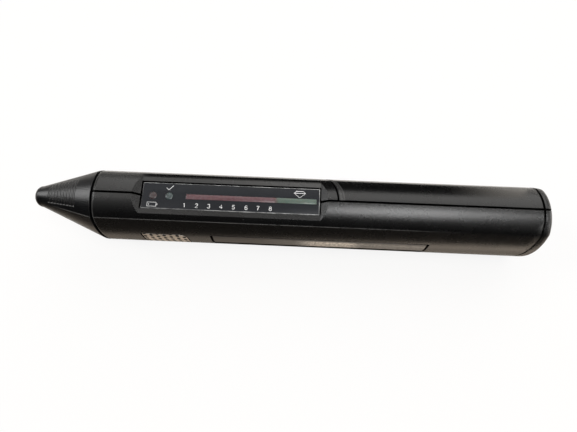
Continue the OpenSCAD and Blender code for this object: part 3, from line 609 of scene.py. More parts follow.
def housing_plastic(finish, cap, housing):
    """Plastic of the housing: seams darkened with painted shade, creases lit with painted highlight
    lines that soften and fade to the rear.
    """
    low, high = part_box("near_shell")
    middle = section_sizes(cap, -low.y, high.z)[1]
    paint = moulded_plastic("housing_plastic", finish.housing, finish.edge, 0.27, depth=0.05)
    x, y, z = axes = paint.axes()
    # Painted highlight lines along the creases, fading to the rear, and along the housing's lip
    crease = paint.effect(
        "crease_highlight", Across=cap.crease_width / 2, Up=high.z - cap.crease_drop)["Rub"]
    ahead = x.spread(housing.crease_gone, housing.crease_full, 0.0, CREASE_HIGHLIGHT)
    paint.wear(crease * ahead, finish.edge)
    lip_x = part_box("probe_cap")[1].x + housing.lip_back
    paint.wear(line(x - lip_x, housing.lip_width, LIP_HIGHLIGHT), finish.edge)

    # Painted shade in the parting seam, wider at the rear end, and in the rear groove, narrower on
    # the near side
    on_end = x.spread(high.x - 0.3 * MM, high.x - 0.1 * MM, 1.0, 2.2)
    paint.paint_shade(line(abs(y) * on_end, housing.seam_width))
    low_end = high.x - housing.groove_back - housing.groove_lean
    off_groove = x - (z * (housing.groove_lean / high.z) + low_end)
    narrowed = off_groove * y.spread(-3 * MM, 0.0, 1.45, 1.0)
    paint.paint_shade(line(narrowed, housing.groove_width))

    reach = housing.cover_bow + housing.cover_gap
    bow_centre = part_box("far_shell")[1].x + math.sqrt(reach ** 2 - (high.z - middle) ** 2)
    bow_x = x - bow_centre
    off_bow = hypotenuse(bow_x, z - middle) - (housing.cover_bow + housing.cover_gap / 2)
    # A painted highlight on the cover's lap and painted shade in the gap along its bowed edge
    ahead = (bow_x < 0.0) * (y > 0.2 * MM)
    lap = line(off_bow + housing.lap_back, housing.lap_width, LAP_HIGHLIGHT)
    paint.wear(lap * ahead, finish.edge)
    paint.paint_shade(line(off_bow, housing.cover_line) * ahead)
    # Painted shade round the name strip, the touch plate and the window, and a painted highlight
    # beyond the window's far side
    paint.paint_shade(strip_shade(axes, housing))
    paint.paint_shade(touch_shade(axes, housing))
    frame_window(paint, axes, finish, housing)

    beside = abs(y).spread(3.5 * MM, 5.5 * MM) * z.spread(15 * MM, 18.5 * MM)
    rearward = x.spread(housing.crease_full, housing.crease_soft) * beside
    softened = rearward * housing.crease_round + EDGE_ROUND
    connect(paint.groups["rubbed_edges"].inputs["Radius"], softened)
    return paint


def frame_window(paint, axes, finish, housing):
    """Paints shade in the gap round the window's far side and ends, and a painted highlight on a
    border beyond it.
    """
    x, y, z = axes
    low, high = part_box("display_window")
    past_end = past(x, low.x, high.x)
    past_far = y - high.y
    on_flat = z.math("COMPARE", high.z + 0.1 * MM, 0.3 * MM)
    # Painted highlight beyond the window's far side, lighter to the right
    border_highlight = past_far.spread(0.3 * MM, 0.45 * MM) * past_end.spread(0.5 * MM, 0.0)
    paint.wear(border_highlight * x.spread(low.x, high.x, 0.1, 0.32) * on_flat, finish.edge)
    # Painted shade in the gap round the window
    gap = line((past_end | past_far) - housing.window_gap / 2, housing.window_gap)
    paint.paint_shade(gap * on_flat * (y > low.y))


def strip_shade(axes, housing):
    """A mask of the painted shade at the name strip's ends and of a band of painted shadow along
    its foot, like the shade of a channel.
    """
    x, y, z = axes
    low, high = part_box("name_plate")
    past_end = past(x, low.x, high.x)
    beside = past(z, low.z, high.z) < LINE_PAST
    ends = line(past_end - LINE_OFF, housing.plate_line) * beside
    foot_z = low.z + housing.strip_lap - housing.strip_foot / 2
    foot = line(z - foot_z, housing.strip_foot) * (past_end < 0.0)
    return (ends | foot) * (y < 0.0)


def touch_shade(axes, housing):
    """A mask of the painted shade lines at the touch plate's straight front end and round its rear
    end.
    """
    x, y, z = axes
    low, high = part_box("touch_plate")
    rounding = housing.touch_round
    past_z = past(z, low.z, high.z)
    front = line(x - (low.x - LINE_OFF), housing.plate_line) * (past_z < LINE_PAST)
    round_x = x - (high.x - rounding) | 0.0
    off_round = hypotenuse(round_x, past_z + rounding | 0.0) - (rounding + LINE_OFF)
    rear = line(off_round, 0.6 * housing.plate_line) * (round_x > 0.0)
    return (front | rear) * (y < 0.0)


def foil_strip(finish, housing):
    """Blank name strip: dark foil, turned light and metallic in a speckled patch that is partly its
    foil and partly a painted highlight of glare, with painted shadow along its foot.
    """
    paint = moulded_plastic("name_strip", finish.strip, finish.edge, 0.3, 7000.0, 0.01)
    x, _, z = axes = paint.axes()
    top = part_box("name_plate")[1].z
    # Painted highlight of glare: strongest over a span along the strip, in a patch below its top
    # edge, speckled as the foil is
    glare_spread = x.spread(2 * MM, 9 * MM, 0.12, 1.0) * x.spread(24 * MM, 18 * MM, 0.3, 1.0)
    speckle = paint.noise(1400.0, 3.0).spread(0.36, 0.64, 0.45, 1.0)
    rubbed = x.spread(-12 * MM, 2 * MM) * z.spread(top - 0.2 * MM, top - 1.4 * MM)
    foil_and_glare = glare_spread * speckle * rubbed
    paint.wear(foil_and_glare, finish.foil)
    paint.put(Metallic=foil_and_glare)
    # Painted shade at the strip's ends and painted shadow along its foot
    paint.paint_shade(strip_shade(axes, housing))
    return paint


def ridged_plastic(finish, cap, low, high):
    """Plastic of the cap, with painted highlight lines along its creases and the border of its
    ridged band.
    """
    paint = moulded_plastic("cap_plastic", finish.cap, finish.edge, 0.3, depth=0.05, rub=0.0)
    x, y, _ = paint.axes()
    down = (high.x - x) / (high.x - low.x - cap.nose_round)
    lean = math.radians(50)
    ends = (
        (cap.crease_width / 2, cap.nose_radius * math.sin(lean)),
        (high.z - cap.crease_drop, high.z - cap.nose_drop + cap.nose_radius * math.cos(lean)),
    )
    across, up = [down * (last - first) + first for first, last in ends]
    # Painted highlight along the cap's creases, fading towards the nose
    crease = paint.effect("crease_highlight", Across=across, Up=up, Reach=0.16 * MM)["Rub"]
    paint.wear(crease * down.spread(0.8, 0.3), finish.edge)
    # Painted highlight along the border of the ridged band, in dashes
    off = abs(abs(y) - ((x - low.x) * cap.ridge_spread + cap.ridge_reach))
    band = (high.x - cap.ridge_start - x) / cap.ridge_pitch
    inside = (band > 0.2) * (band < cap.ridge_count - 0.2)
    on_slot = band.math("PINGPONG", 0.5).spread(0.1, 0.3, 0.6, 1.0)
    border_highlight = off.spread(0.16 * MM, 0.05 * MM) * inside * on_slot
    paint.wear(border_highlight * BAND_HIGHLIGHT, finish.edge)
    return paint


def smoked_window(tone):
    """Dark printed window with a faint cloudiness, fine scratches and light edges that are painted
    glints on its bevel, speckled like chipping.
    """
    paint = Paint("smoked_window", IOR=1.5, Specular_IOR_Level=0.15)
    cloud = paint.noise(240.0, 4.0, 0.6)
    flecks = paint.noise(6500.0, 1.0).spread(0.66, 0.74, 0.0, 0.22)
    shade = blend(cloud.spread(0.35, 0.7), tone, scaled(tone, 1.2))
    low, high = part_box("display_window")
    _, far, up = split(facing(paint.tree))
    # Painted glints along the bevel: speckled, stronger to the right and on the far-facing side,
    # only off the flat top
    glints_and_chips = paint.noise(260.0, 4.0, 0.7).spread(0.4, 0.65, 0.16, 0.5)
    glints_and_chips = glints_and_chips * paint.axes()[0].spread(low.x, high.x, 0.8, 1.7)
    glints_and_chips = (glints_and_chips * far.spread(0.2, 0.6, 1.0, 2.2)).math("MINIMUM", 1.0)
    glints_and_chips = glints_and_chips * up.spread(0.97, 0.9)
    edges = paint.effect("rubbed_edges", Radius=0.05 * MM)
    return paint.put(
        Base_Color=blend(glints_and_chips, blend(flecks, shade, (0.1, 0.11, 0.12)), (0.92, 0.92, 0.91)),
        Roughness=paint.effect("brushed_lines", Scale=900.0)["Tone"] * 0.02 + 0.3,
        Normal=bump(cloud, 0.05, 0.02 * MM, Normal=edges["Normal"]),
    )


def lamp_plastic(name, tone, beyond=None, joint=0.0):
    """Diffusing coloured plastic of an unlit lamp or bar, that may run into another colour."""
    paint = Paint(
        name, IOR=1.49, Subsurface_Weight=0.15, Subsurface_Scale=0.6 * MM, Coat_Weight=0.15)
    cloud = paint.noise(1400.0, 3.0, 0.6)
    if beyond:
        tone = blend(paint.axes()[0].spread(joint - 1 * MM, joint + 1 * MM), tone, beyond)
    return paint.put(
        Base_Color=blend(cloud.spread(0.35, 0.7, 0.0, 0.08), tone, (0.3, 0.3, 0.3)),
        Roughness=cloud * 0.08 + 0.3,
        Normal=paint.effect("rubbed_edges", Radius=0.06 * MM)["Normal"],
    )


def sign_paint(tone):
    """Screen-printed paint, slightly uneven."""
    paint = Paint("sign_paint", IOR=1.45)
    patch = paint.noise(5200.0, 3.0, 0.6)
    return paint.put(
        Base_Color=blend(patch.spread(0.3, 0.7), scaled(tone, 0.8), tone),
        Roughness=patch * 0.1 + 0.5,
    )


def worked_metal(name, tone, roughness, lines):
    """Metal with fine working lines, darker where it is dull."""
    paint = Paint(name, Metallic=1.0)
    texture = paint.effect("brushed_lines", Scale=lines)
    tarnish = paint.noise(500.0, 4.0, 0.6).spread(0.35, 0.75)
    edges = paint.effect("rubbed_edges", Radius=0.1 * MM)
    return paint.put(
        Base_Color=blend(tarnish, tone, scaled(tone, 0.75)),
        Roughness=texture["Tone"] * 0.08 + roughness,
        Normal=bump(texture["Height"], 0.25, 0.015 * MM, Normal=edges["Normal"]),
    )


def dimpled_metal(tone, cap, plate):
    """Metal of the touch plate, with painted shade in spots round its dimples and round its edge,
    where it is dark and not metallic.
    """
    paint = worked_metal("touch_metal", tone, 0.42, 350.0)
    low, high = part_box("near_shell")
    _, middle, _, side_radius = section_sizes(cap, -low.y, high.z)
    x, y, z = paint.axes()
    in_z = z - middle
    from_axis = hypotenuse(y - (low.y + side_radius), in_z)
    # Painted shade round the plate's edge, below the side's surface
    edge = from_axis.spread(side_radius - 0.03 * MM, side_radius - 0.09 * MM)
    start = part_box("touch_plate")[0].x + plate.dimple_edge
    column = (x - start) / plate.dimple_pitch
    nearest = column.math("ROUND")
    row = in_z / plate.dimple_rise - (nearest * 0.5 + 0.5).math("PINGPONG", 0.5)
    off_x = (column - nearest) * plate.dimple_pitch
    off_z = (row - row.math("ROUND")) * (0.78 * plate.dimple_rise)
    # Painted shade in spots round the dimples, wider than the dimples
    dimple_shade = hypotenuse(off_x, off_z).spread(1.5 * plate.dimple_radius, 1.1 * plate.dimple_radius)
    painted_shade = edge | dimple_shade
    # Dark colour of the painted shade
    paint.wear(painted_shade, (0.006, 0.005, 0.004))
    paint.put(Metallic=1.0 - painted_shade)
    return paint


def insulated_wire(name, tone):
    """Soft wire insulation with a faint bloom."""
    paint = Paint(name, IOR=1.48)
    bloom = paint.noise(900.0, 3.0).spread(0.4, 0.75)
    return paint.put(
        Base_Color=blend(bloom, tone, [0.7 * c + 0.03 for c in tone]),
        Roughness=bloom * 0.15 + 0.45,
    )


def circuit_board():
    """Green solder mask with lighter tracks and pads."""
    paint = Paint("circuit_board", IOR=1.5, Coat_Weight=0.3)
    tracks = result(
        paint.tree, "ShaderNodeTexBrick", "Color", {"offset": 0.37, "squash": 1.0},
        Vector=place(paint.tree), Scale=420.0, Mortar_Size=0.03,
        Color1=(0, 0, 0, 1), Color2=(0, 0, 0, 1), Mortar=WHITE,
    )
    return paint.put(
        Base_Color=blend(tracks, (0.012, 0.085, 0.03), (0.03, 0.16, 0.06)),
        Roughness=paint.noise(700.0, 3.0) * 0.1 + 0.32,
        Normal=bump(tracks, 0.3, 0.03 * MM),
    )


def chip_body(node):
    """Black moulded chip whose legs, outside its body, are tinned."""
    paint = Paint(node + "_body", IOR=1.5)
    legs = abs(paint.axes()[1]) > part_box(node)[1].y - 0.3 * MM
    grain = paint.effect("moulded_grain", Scale=4200.0)
    return paint.put(
        Base_Color=blend(legs, (0.012, 0.012, 0.013), (0.6, 0.6, 0.58)),
        Metallic=legs,
        Roughness=grain["Gloss"] * 0.06 + 0.5,
        Normal=bump(grain["Height"], 0.4, 0.02 * MM),
    )


def cell_wrap(node, button_ahead):
    """Battery cell: a dark wrap with a copper-coloured band at its button end, bare steel ends."""
    paint = Paint("wrap_" + node, IOR=1.5, Coat_Weight=0.4)
    low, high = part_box(node)
    along = paint.axes()[0]
    from_end = high.x - along if button_ahead else along - low.x
    span = high.x - low.x
    band = from_end < 0.3 * span
    steel = (from_end < 1.3 * MM) | (from_end > span - 0.5 * MM)
    wrap = blend(band, (0.02, 0.02, 0.022), (0.45, 0.2, 0.06))
    return paint.put(
        Base_Color=blend(steel, wrap, (0.6, 0.6, 0.6)),
        Metallic=band | steel,
        Roughness=paint.noise(600.0, 3.0) * 0.06 + 0.28,
    )


def fired_ceramic():
    """Pale unglazed ceramic."""
    paint = Paint("fired_ceramic", IOR=1.6)
    mottled = paint.noise(1500.0, 4.0, 0.6)
    return paint.put(
        Base_Color=blend(mottled, (0.74, 0.72, 0.66), (0.86, 0.84, 0.78)),
        Roughness=mottled * 0.12 + 0.55,
        Normal=bump(mottled, 0.3, 0.03 * MM),
    )


# Outline of the housing


def section_sizes(cap, half, height):
    """The section's top radius, middle height, crease height above it and side radius."""
    top_radius = ((cap.crease_width / 2) ** 2 + cap.crease_drop ** 2) / (2 * cap.crease_drop)
    land_rise = top_radius - math.sqrt(top_radius ** 2 - (cap.land_width / 2) ** 2)
    middle = (height - land_rise) / 2
    bow_in = half - cap.crease_width / 2
    bow_up = height - cap.crease_drop - middle
    return top_radius, middle, bow_up, (bow_in ** 2 + bow_up ** 2) / (2 * bow_in)


def housing_reach(cap, half, height, turn, inset, floor):
    """A point (y, z) of the section, moved inward by inset, seen at an angle from its middle."""
    top_radius, middle, bow_up, side_radius = section_sizes(cap, half, height)
    y, z = math.sin(turn), math.cos(turn)
    reach = far_hit(abs(y), z, half - side_radius, 0, side_radius - inset)
    if abs(z) * reach > bow_up - inset - 0.5 * MM:
        rounded = far_hit(abs(y), abs(z), 0, height - middle - top_radius, top_radius - inset)
        reach = min(reach, rounded)
    if z < 0:
        reach = min(reach, (middle - floor) / -z)
    return y * reach, middle + z * reach


def far_hit(y, z, centre_y, centre_z, radius):
    """How far a ray (y, z) from the middle goes until it leaves a circle."""
    along = y * centre_y + z * centre_z
    return along + math.sqrt(along ** 2 - centre_y ** 2 - centre_z ** 2 + radius ** 2)


def circle_points(count, radius, height=0):
    """Points (y, z) of a circle on the tester's middle plane."""
    turns = [math.tau * i / count for i in range(count)]
    return [(radius * math.sin(t), height + radius * math.cos(t)) for t in turns]


def supports(outline, count):
    """The outline's furthest points in count directions, evenly turned."""
    return [
        max(outline, key=lambda p: p[0] * y + p[1] * z) for y, z in circle_points(count, 1)
    ]


def mix_points(first, second, share):
    """Points part of the way from one list to another."""
    return [tuple(a + (b - a) * share for a, b in zip(p, q)) for p, q in zip(first, second)]


def quarter(count):
    """The angles of a quarter turn, in steps, without its start."""
    return [math.radians(90 * i / count) for i in range(1, count + 1)]


def clamped(value):
    """A share from 0 to 1."""
    return min(1, max(0, value))


# Signs


def arc(x, y, wide, high, start, end, steps=14):
    """Points of an arc of an ellipse, from one angle to another in degrees."""
    turns = [math.radians(start + (end - start) * i / steps) for i in range(steps + 1)]
    return [(x + wide * math.cos(t), y + high * math.sin(t)) for t in turns]


# Numbers as strokes of a unit height: the points of a line, and whether it closes
NUMBERS = [
    [([(-0.16, 0.26), (0.08, 0.48), (0.08, -0.5)], False)],
    [(arc(0, 0.22, 0.27, 0.27, 165, -40) + [(-0.28, -0.49), (0.3, -0.49)], False)],
    [(arc(0, 0.25, 0.24, 0.24, 160, -80), False), (arc(0, -0.23, 0.28, 0.26, 80, -160), False)],
    [([(0.13, -0.5), (0.13, 0.48), (-0.3, -0.2), (0.32, -0.2)], False)],
    [([(0.26, 0.48), (-0.18, 0.48), (-0.24, 0.0)] + arc(0, -0.18, 0.28, 0.31, 130, -155), False)],
    [(arc(0.1, -0.2, 0.27, 0.29, 0, 340), True), (arc(0.12, 0.1, 0.28, 0.4, 40, 190), False)],
    [([(-0.28, 0.48), (0.28, 0.48), (0.06, 0.08), (-0.08, -0.5)], False)],
    [(arc(0, 0.25, 0.22, 0.23, 0, 340), True), (arc(0, -0.23, 0.28, 0.26, 0, 340), True)],
]
# How much wider than the plain stroke each number's line is
BOLDNESS = (1.5, 1.25, 1.15, 1.45, 1.2, 1.05, 1.4, 1.05)
# Signs as strokes in millimetres
TICK = [([(-1.0, 0.0), (-0.3, -0.65), (1.0, 0.75)], False)]
BATTERY = [
    ([(-1.4, -0.6), (1.2, -0.6), (1.2, 0.6), (-1.4, 0.6)], True),
    ([(1.5, -0.25), (1.5, 0.25)], False),
    ([(-0.95, -0.2), (-0.95, 0.2)], False),
]
GEM = [
    ([(-0.95, 0.85), (0.95, 0.85), (1.65, 0.25), (0, -1.15), (-1.65, 0.25)], True),
    ([(-1.65, 0.25), (1.65, 0.25)], False),
]


# Pieces


def ridge_stations(cap, start, end):
    """Where the rings stand: close together over the grip ridges."""
    first = start - cap.ridge_start
    last = first - cap.ridge_count * cap.ridge_pitch
    fine, plain = 8 * cap.ridge_count, 6
    found = [start + (first - start) * i / plain for i in range(plain)]
    found += [first + (last - first) * i / fine for i in range(fine + 1)]
    found += [last + (end - last) * i / plain for i in range(1, plain + 1)]
    return found


def ridged_points(cap, x, points, axis, nose_x, start):
    """A ring whose top is pressed in where it crosses a slot between two grip ridges."""
    along = (start - cap.ridge_start - x) / cap.ridge_pitch
    if not 0 < along < cap.ridge_count:
        return points
    off_slot = abs(along % 1 - 0.5)
    valley = cap.ridge_depth * clamped((0.32 - off_slot) / 0.14)
    reach = cap.ridge_reach + cap.ridge_spread * (x - nose_x)
    pressed = []
    for y, z in points:
        inside = clamped((reach - abs(y)) / (0.12 * MM)) if z > axis else 0
        out = Vector((y, z - axis)).normalized()
        pressed.append((y - out.x * valley * inside, z - out.y * valley * inside))
    return pressed


def lamp_lens(name, node, signs):
    """A lamp's lens: a flange, a round body and a low dome."""
    low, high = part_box(node)
    centre = (low + high) / 2
    flange, radius = (high.x - low.x) / 2, signs.lamp_radius
    ledge, rim = low.z + 0.8 * MM, high.z - signs.lamp_rim
    profile = [
        (0, low.z), (flange, low.z), (flange, ledge - 0.1 * MM), (flange - 0.1 * MM, ledge),
        (radius, ledge), (radius, rim),
    ]
    for turn in quarter(8):
        profile.append((radius * math.cos(turn), rim + signs.lamp_dome * math.sin(turn)))
    return skin(name, [
        [(centre.x + x, centre.y + y, z) for x, y in circle_points(40, wide)]
        for wide, z in profile
    ])


def light_bar(name, node, start, end, signs):
    """A light bar with eased upper edges, on its wider foot."""
    low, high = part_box(node)
    half = signs.bar_width / 2
    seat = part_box("display_window")[0].z
    piece = eased_box(name, (start, -half, low.z), (end, half, high.z), signs.bar_ease, 2)
    inset = high.y - half
    foot = box_between(
        name + "_foot", (low.x + inset, low.y, seat - signs.foot_height),
        (high.x - inset, high.y, seat),
    )
    combine(piece, foot, "UNION")
    return piece


def drawn_sign(name, x, y, strokes, width, height):
    """A sign drawn in lines, flattened onto the window."""
    curve = bpy.data.curves.new(name, "CURVE")
    curve.dimensions = "3D"
    curve.bevel_depth = width / 2
    curve.bevel_resolution = 2
    curve.use_fill_caps = True
    for points, closed in strokes:
        stroke = curve.splines.new("POLY")
        stroke.points.add(len(points) - 1)
        for spot, (right, up) in zip(stroke.points, points):
            spot.co = (right * MM, up * MM, 0, 1)
        stroke.use_cyclic_u = closed
    obj = bpy.data.objects.new(name, curve)
    bpy.context.scene.collection.objects.link(obj)
    obj.location = (x, y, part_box("display_window")[1].z)
    obj.scale = (1, 1, 2 * height / width)
    only(obj)
    bpy.ops.object.convert(target="MESH")
    return settle(named(name))


def wind_spring(sizes, paint):
    """Winds the probe's spring in the space of its CAD node. The real spring shortens towards its
    plug as the probe is pressed; this coil keeps its length.
    """
    low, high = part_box("probe_spring")
    round_turn, round_wire = 24, 12
    wire, count = sizes.spring_wire, round_turn * sizes.spring_turns
    start = Vector((low.x + wire, (low.y + high.y) / 2, (low.z + high.z) / 2))
    radius = (high.z - low.z) / 2 - wire
    length = high.x - low.x
    rings = []
    for step in range(count + 1):
        turn = math.tau * step / round_turn
        out = Vector((0, math.cos(turn), math.sin(turn)))
        middle = start + Vector(((length - 2 * wire) * step / count, 0, 0)) + radius * out
        rings.append([
            middle + out * up + Vector((along, 0, 0))
            for along, up in circle_points(round_wire, wire)
        ])
    tips = [[sum(ring, Vector()) / round_wire] * round_wire for ring in (rings[0], rings[-1])]
    piece = skin("probe_spring_coil", [tips[0], *rings, tips[1]])
    present(piece, "housing", paint)
    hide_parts("probe_spring")
    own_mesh(piece)


# Stage


def add_sheet(name, size, place, turn, paint):
    """A flat sheet of the stage."""
    bpy.ops.object.select_all(action="DESELECT")
    bpy.ops.mesh.primitive_plane_add(
        size=1, location=place, rotation=[math.radians(angle) for angle in turn])
    sheet = named(name)
    sheet.scale = (*size, 1)
    settle(sheet)
    sheet.data.materials.append(paint.material)
    sheet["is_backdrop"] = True
    return sheet


def add_card(name, size, place, turn, glow, tone=WARM_WHITE):
    """A dark card or a light panel that only reflections see."""
    paint = Paint(
        name + "_paper", Base_Color=(0.002, 0.002, 0.002, 1), Roughness=1.0,
        Specular_IOR_Level=0.0, Emission_Color=tone,
    )
    paint.put(Emission_Strength=glow(*paint.axes()[:2]) if callable(glow) else glow)
    paint.material.cycles.emission_sampling = "NONE"
    sheet = add_sheet(name, size, place, turn, paint)
    for ray in ("camera", "diffuse", "transmission", "shadow"):
        setattr(sheet, "visible_" + ray, False)


def floor_glow(x, before):
    """Glow of the floor before the tester: light beside it but dimmer right at it, a painted shadow
    of the tester, and dim farther off and to the left.
    """
    off = x * -0.06 + before
    beside = off.spread(17 * MM, 13 * MM) * off.spread(0.0, 13 * MM, 0.45, 1.75)
    return beside * x.spread(-40 * MM, 80 * MM, 0.38, 1.05) | 0.08


def add_camera(scene, stage):
    """The camera, where it was fitted to stand."""
    data = bpy.data.cameras.new("camera")
    data.sensor_fit, data.lens, data.clip_start = "HORIZONTAL", stage.camera_lens, 0.005
    obj = bpy.data.objects.new("camera", data)
    obj.location, obj.rotation_euler = stage.camera_place, stage.camera_turn
    scene.collection.objects.link(obj)
    scene.camera = obj


def whiten(tree, kind, plain, share, put):
    """Mixes white into a shader for the rays that come straight from the camera."""
    white = result(tree, kind, 0, Color=WHITE, Strength=1.0)
    seen = result(tree, "ShaderNodeLightPath", "Is Camera Ray")
    mixed = fill(tree.nodes.new("ShaderNodeMixShader"), seen * share, plain, white)
    connect(put, Value(mixed.outputs[0]))


def add_floor(stage):
    """A pale floor that is nearly white to the camera."""
    paint = Paint(
        "floor_paper", Base_Color=(0.9, 0.86, 0.81, 1), Roughness=0.9, Specular_IOR_Level=0.1)
    nodes = paint.tree.nodes
    plain = Value(nodes["Principled BSDF"].outputs[0])
    put = nodes["Material Output"].inputs["Surface"]
    whiten(paint.tree, "ShaderNodeEmission", plain, 0.86, put)
    add_sheet("floor", (stage.floor_size,) * 2, (0, 0, -0.02 * MM), (0, 0, 0), paint)


def add_lamp(scene, name, power, place, width, depth):
    """A soft lamp that looks at the tester."""
    data = bpy.data.lights.new(name, "AREA")
    data.energy, data.shape, data.size, data.size_y = power, "RECTANGLE", width, depth
    obj = bpy.data.objects.new(name, data)
    obj.location = place
    obj.rotation_mode = "QUATERNION"
    obj.rotation_quaternion = (-Vector(place)).to_track_quat("-Z", "Y")
    scene.collection.objects.link(obj)
    return obj


def add_room(scene, stage):
    """A room, lighter overhead and behind, dim towards the viewer, and white to the camera."""
    scene.world = bpy.data.worlds.new("room")
    scene.world.use_nodes = True
    tree = scene.world.node_tree
    tree.nodes.clear()
    x, y, z = split(result(tree, "ShaderNodeTexCoord", "Generated"))
    level = (x * 0.3 + (y * 0.7 + z)).spread(0.0, 0.9, 0.02, 1.0) * stage.room_light
    plain = result(tree, "ShaderNodeBackground", 0, Color=WARM_WHITE, Strength=level)
    put = tree.nodes.new("ShaderNodeOutputWorld").inputs["Surface"]
    whiten(tree, "ShaderNodeBackground", plain, 1.0, put)


# Operators


class TESTER_OT_cap(bpy.types.Operator):
    """Models the pull-off cap: a loft from the housing's section to a round nose, with ridges"""

    bl_idname = "tester.cap"
    bl_label = "Cap"

    def execute(self, context):
        cap = context.scene.tester_cap
        finish = context.scene.tester_finish
        low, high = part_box("probe_cap")
        count = cap.columns
        axis = high.z - cap.nose_drop
        turns = [math.tau * i / 720 for i in range(720)]
        outside, eased, socket = [
            supports([housing_reach(cap, high.y, high.z, t, inset, floor) for t in turns], count)
            for inset, floor in (
                (0, 0), (cap.edge_round, cap.edge_round), (cap.wall_inset, cap.socket_floor))
        ]
        seam_x = high.x + cap.seam_reach
        nose_x = low.x + cap.nose_round
        nose = circle_points(count, cap.nose_radius, axis)
        rings = [
            (low.x + cap.end_thickness, circle_points(count, 0, axis)),
            (low.x + cap.end_thickness, circle_points(count, cap.hollow_radius, axis)),
            (seam_x - cap.socket_depth, socket), (seam_x, socket), (seam_x, eased),
        ]
        for turn in quarter(3):
            x = seam_x - cap.edge_round * (1 - math.cos(turn))
            rings.append((x, mix_points(eased, outside, math.sin(turn))))
        start = seam_x - cap.edge_round
        for x in ridge_stations(cap, start, nose_x):
            points = mix_points(outside, nose, (start - x) / (start - nose_x))
            rings.append((x, ridged_points(cap, x, points, axis, low.x, start)))
        for turn in quarter(14):
            radius = cap.nose_radius - cap.nose_round * (1 - math.cos(turn))
            x = nose_x - cap.nose_round * math.sin(turn)
            rings.append((x, circle_points(count, radius, axis)))
        rings.append((low.x, circle_points(count, 0, axis)))
        piece = skin("cap_body", [[(x, *point) for point in points] for x, points in rings])
        present(piece, "cap", ridged_plastic(finish, cap, low, high), 10)
        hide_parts("probe_cap")
        return {"FINISHED"}


class TESTER_OT_window(bpy.types.Operator):
    """Models the smoked window with its bevelled edge and its openings for lamps and light bars"""

    bl_idname = "tester.window"
    bl_label = "Window"

    def execute(self, context):
        signs = context.scene.tester_signs
        low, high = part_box("display_window")
        piece = eased_box("window_plate", low, high, signs.window_edge, 3)
        half = signs.bar_width / 2 + signs.fit_gap
        start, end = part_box("light_bar_red")[0].x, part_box("light_bar_green")[1].x
        cutters = [box_between(
            "bar_cutter", (start - signs.fit_gap, -half, low.z - 1 * MM),
            (end + signs.fit_gap, half, high.z + 1 * MM),
        )]
        for lamp in ("ready_lamp", "low_battery_lamp"):
            a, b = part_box(lamp)
            bpy.ops.object.select_all(action="DESELECT")
            bpy.ops.mesh.primitive_cylinder_add(
                vertices=48, radius=signs.lamp_radius + signs.fit_gap, depth=4 * MM,
                location=((a.x + b.x) / 2, (a.y + b.y) / 2, high.z),
            )
            cutters.append(settle(named(lamp + "_cutter")))
        for cutter in cutters:
            combine(piece, cutter, "DIFFERENCE")
        present(piece, "housing", smoked_window(context.scene.tester_finish.window))
        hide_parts("display_window")
        return {"FINISHED"}


class TESTER_OT_lamps(bpy.types.Operator):
    """Models the two indicator lamps with domed lenses, and the light bars on their feet"""

    bl_idname = "tester.lamps"
    bl_label = "Lamps"

    def execute(self, context):
        signs = context.scene.tester_signs
        finish = context.scene.tester_finish
        for node, tone, slot in (
            ("ready_lamp", finish.ready, "ready_lens"), ("low_battery_lamp", finish.low, "low_lens")
        ):
            piece = lamp_lens(slot + "_dome", node, signs)
            present(piece, "housing", lamp_plastic(slot, tone))
            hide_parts(node)
        red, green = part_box("light_bar_red"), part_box("light_bar_green")
        joint = (red[1].x + green[0].x) / 2
        for slot, node, start, end in (
            ("red_bar", "light_bar_red", red[0].x, joint - signs.bar_part),
            ("green_bar", "light_bar_green", joint + signs.bar_part, green[1].x),
        ):
            piece = light_bar(slot + "_body", node, start, end, signs)
            tones = tuple(finish.red), tuple(finish.green)
            present(piece, "housing", lamp_plastic(slot, *tones, joint + 0.4 * MM))
            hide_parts(node)
        return {"FINISHED"}


class TESTER_OT_signs(bpy.types.Operator):
    """Prints the scale's numbers and the plain signs beside the lamps"""

    bl_idname = "tester.signs"
    bl_label = "Signs"

    def execute(self, context):
        signs = context.scene.tester_signs
        paint = sign_paint(context.scene.tester_finish.sign)
        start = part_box("light_bar_red")[0].x + signs.digit_in
        tall = signs.digit_height / MM
        wide = tall * signs.digit_width
        drawn = []
        for i in range(signs.digit_count):
            strokes = [([(x * wide, y * tall) for x, y in points], closed)
                       for points, closed in NUMBERS[i]]
            x = start + i * signs.digit_pitch
            stroke = signs.digit_stroke * BOLDNESS[i]
            drawn.append(("number_%d" % (i + 1), x, -signs.digit_low, strokes, stroke))
        for name, node, aside, y, strokes in (
            ("ready_sign", "ready_lamp", 0, 2.45, TICK),
            ("low_sign", "low_battery_lamp", 0, -2.7, BATTERY),
            ("gem_sign", "light_bar_green", 1, 2.15, GEM),
        ):
            low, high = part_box(node)
            x = (low.x + high.x) / 2 + aside * MM
            drawn.append((name, x, y * MM, strokes, signs.stroke))
        for sign in drawn:
            present(drawn_sign(*sign, signs.print_height), "housing", paint)
        return {"FINISHED"}


class TESTER_OT_housing(bpy.types.Operator):
    """Gives the housing, its cover, the switch and the side plates their finishes"""

    bl_idname = "tester.housing"
    bl_label = "Housing"

    def execute(self, context):
        finish = context.scene.tester_finish
        cap = context.scene.tester_cap
        housing = context.scene.tester_housing
        edge = finish.edge
        dress(housing_plastic(finish, cap, housing), "near_shell", "far_shell", "battery_cover")
        dress(moulded_plastic("knob_plastic", (0.03, 0.03, 0.031), edge, 0.45), "switch_knob")
        dress(moulded_plastic("socket_plastic", (0.014, 0.014, 0.015), edge, 0.38), "power_socket")
        dress(foil_strip(finish, housing), "name_plate")
        dress(dimpled_metal(finish.touch, cap, housing), "touch_plate")
        dress(worked_metal("screw_steel", (0.5, 0.5, 0.51), 0.3, 500.0), "case_screws")
        return {"FINISHED"}


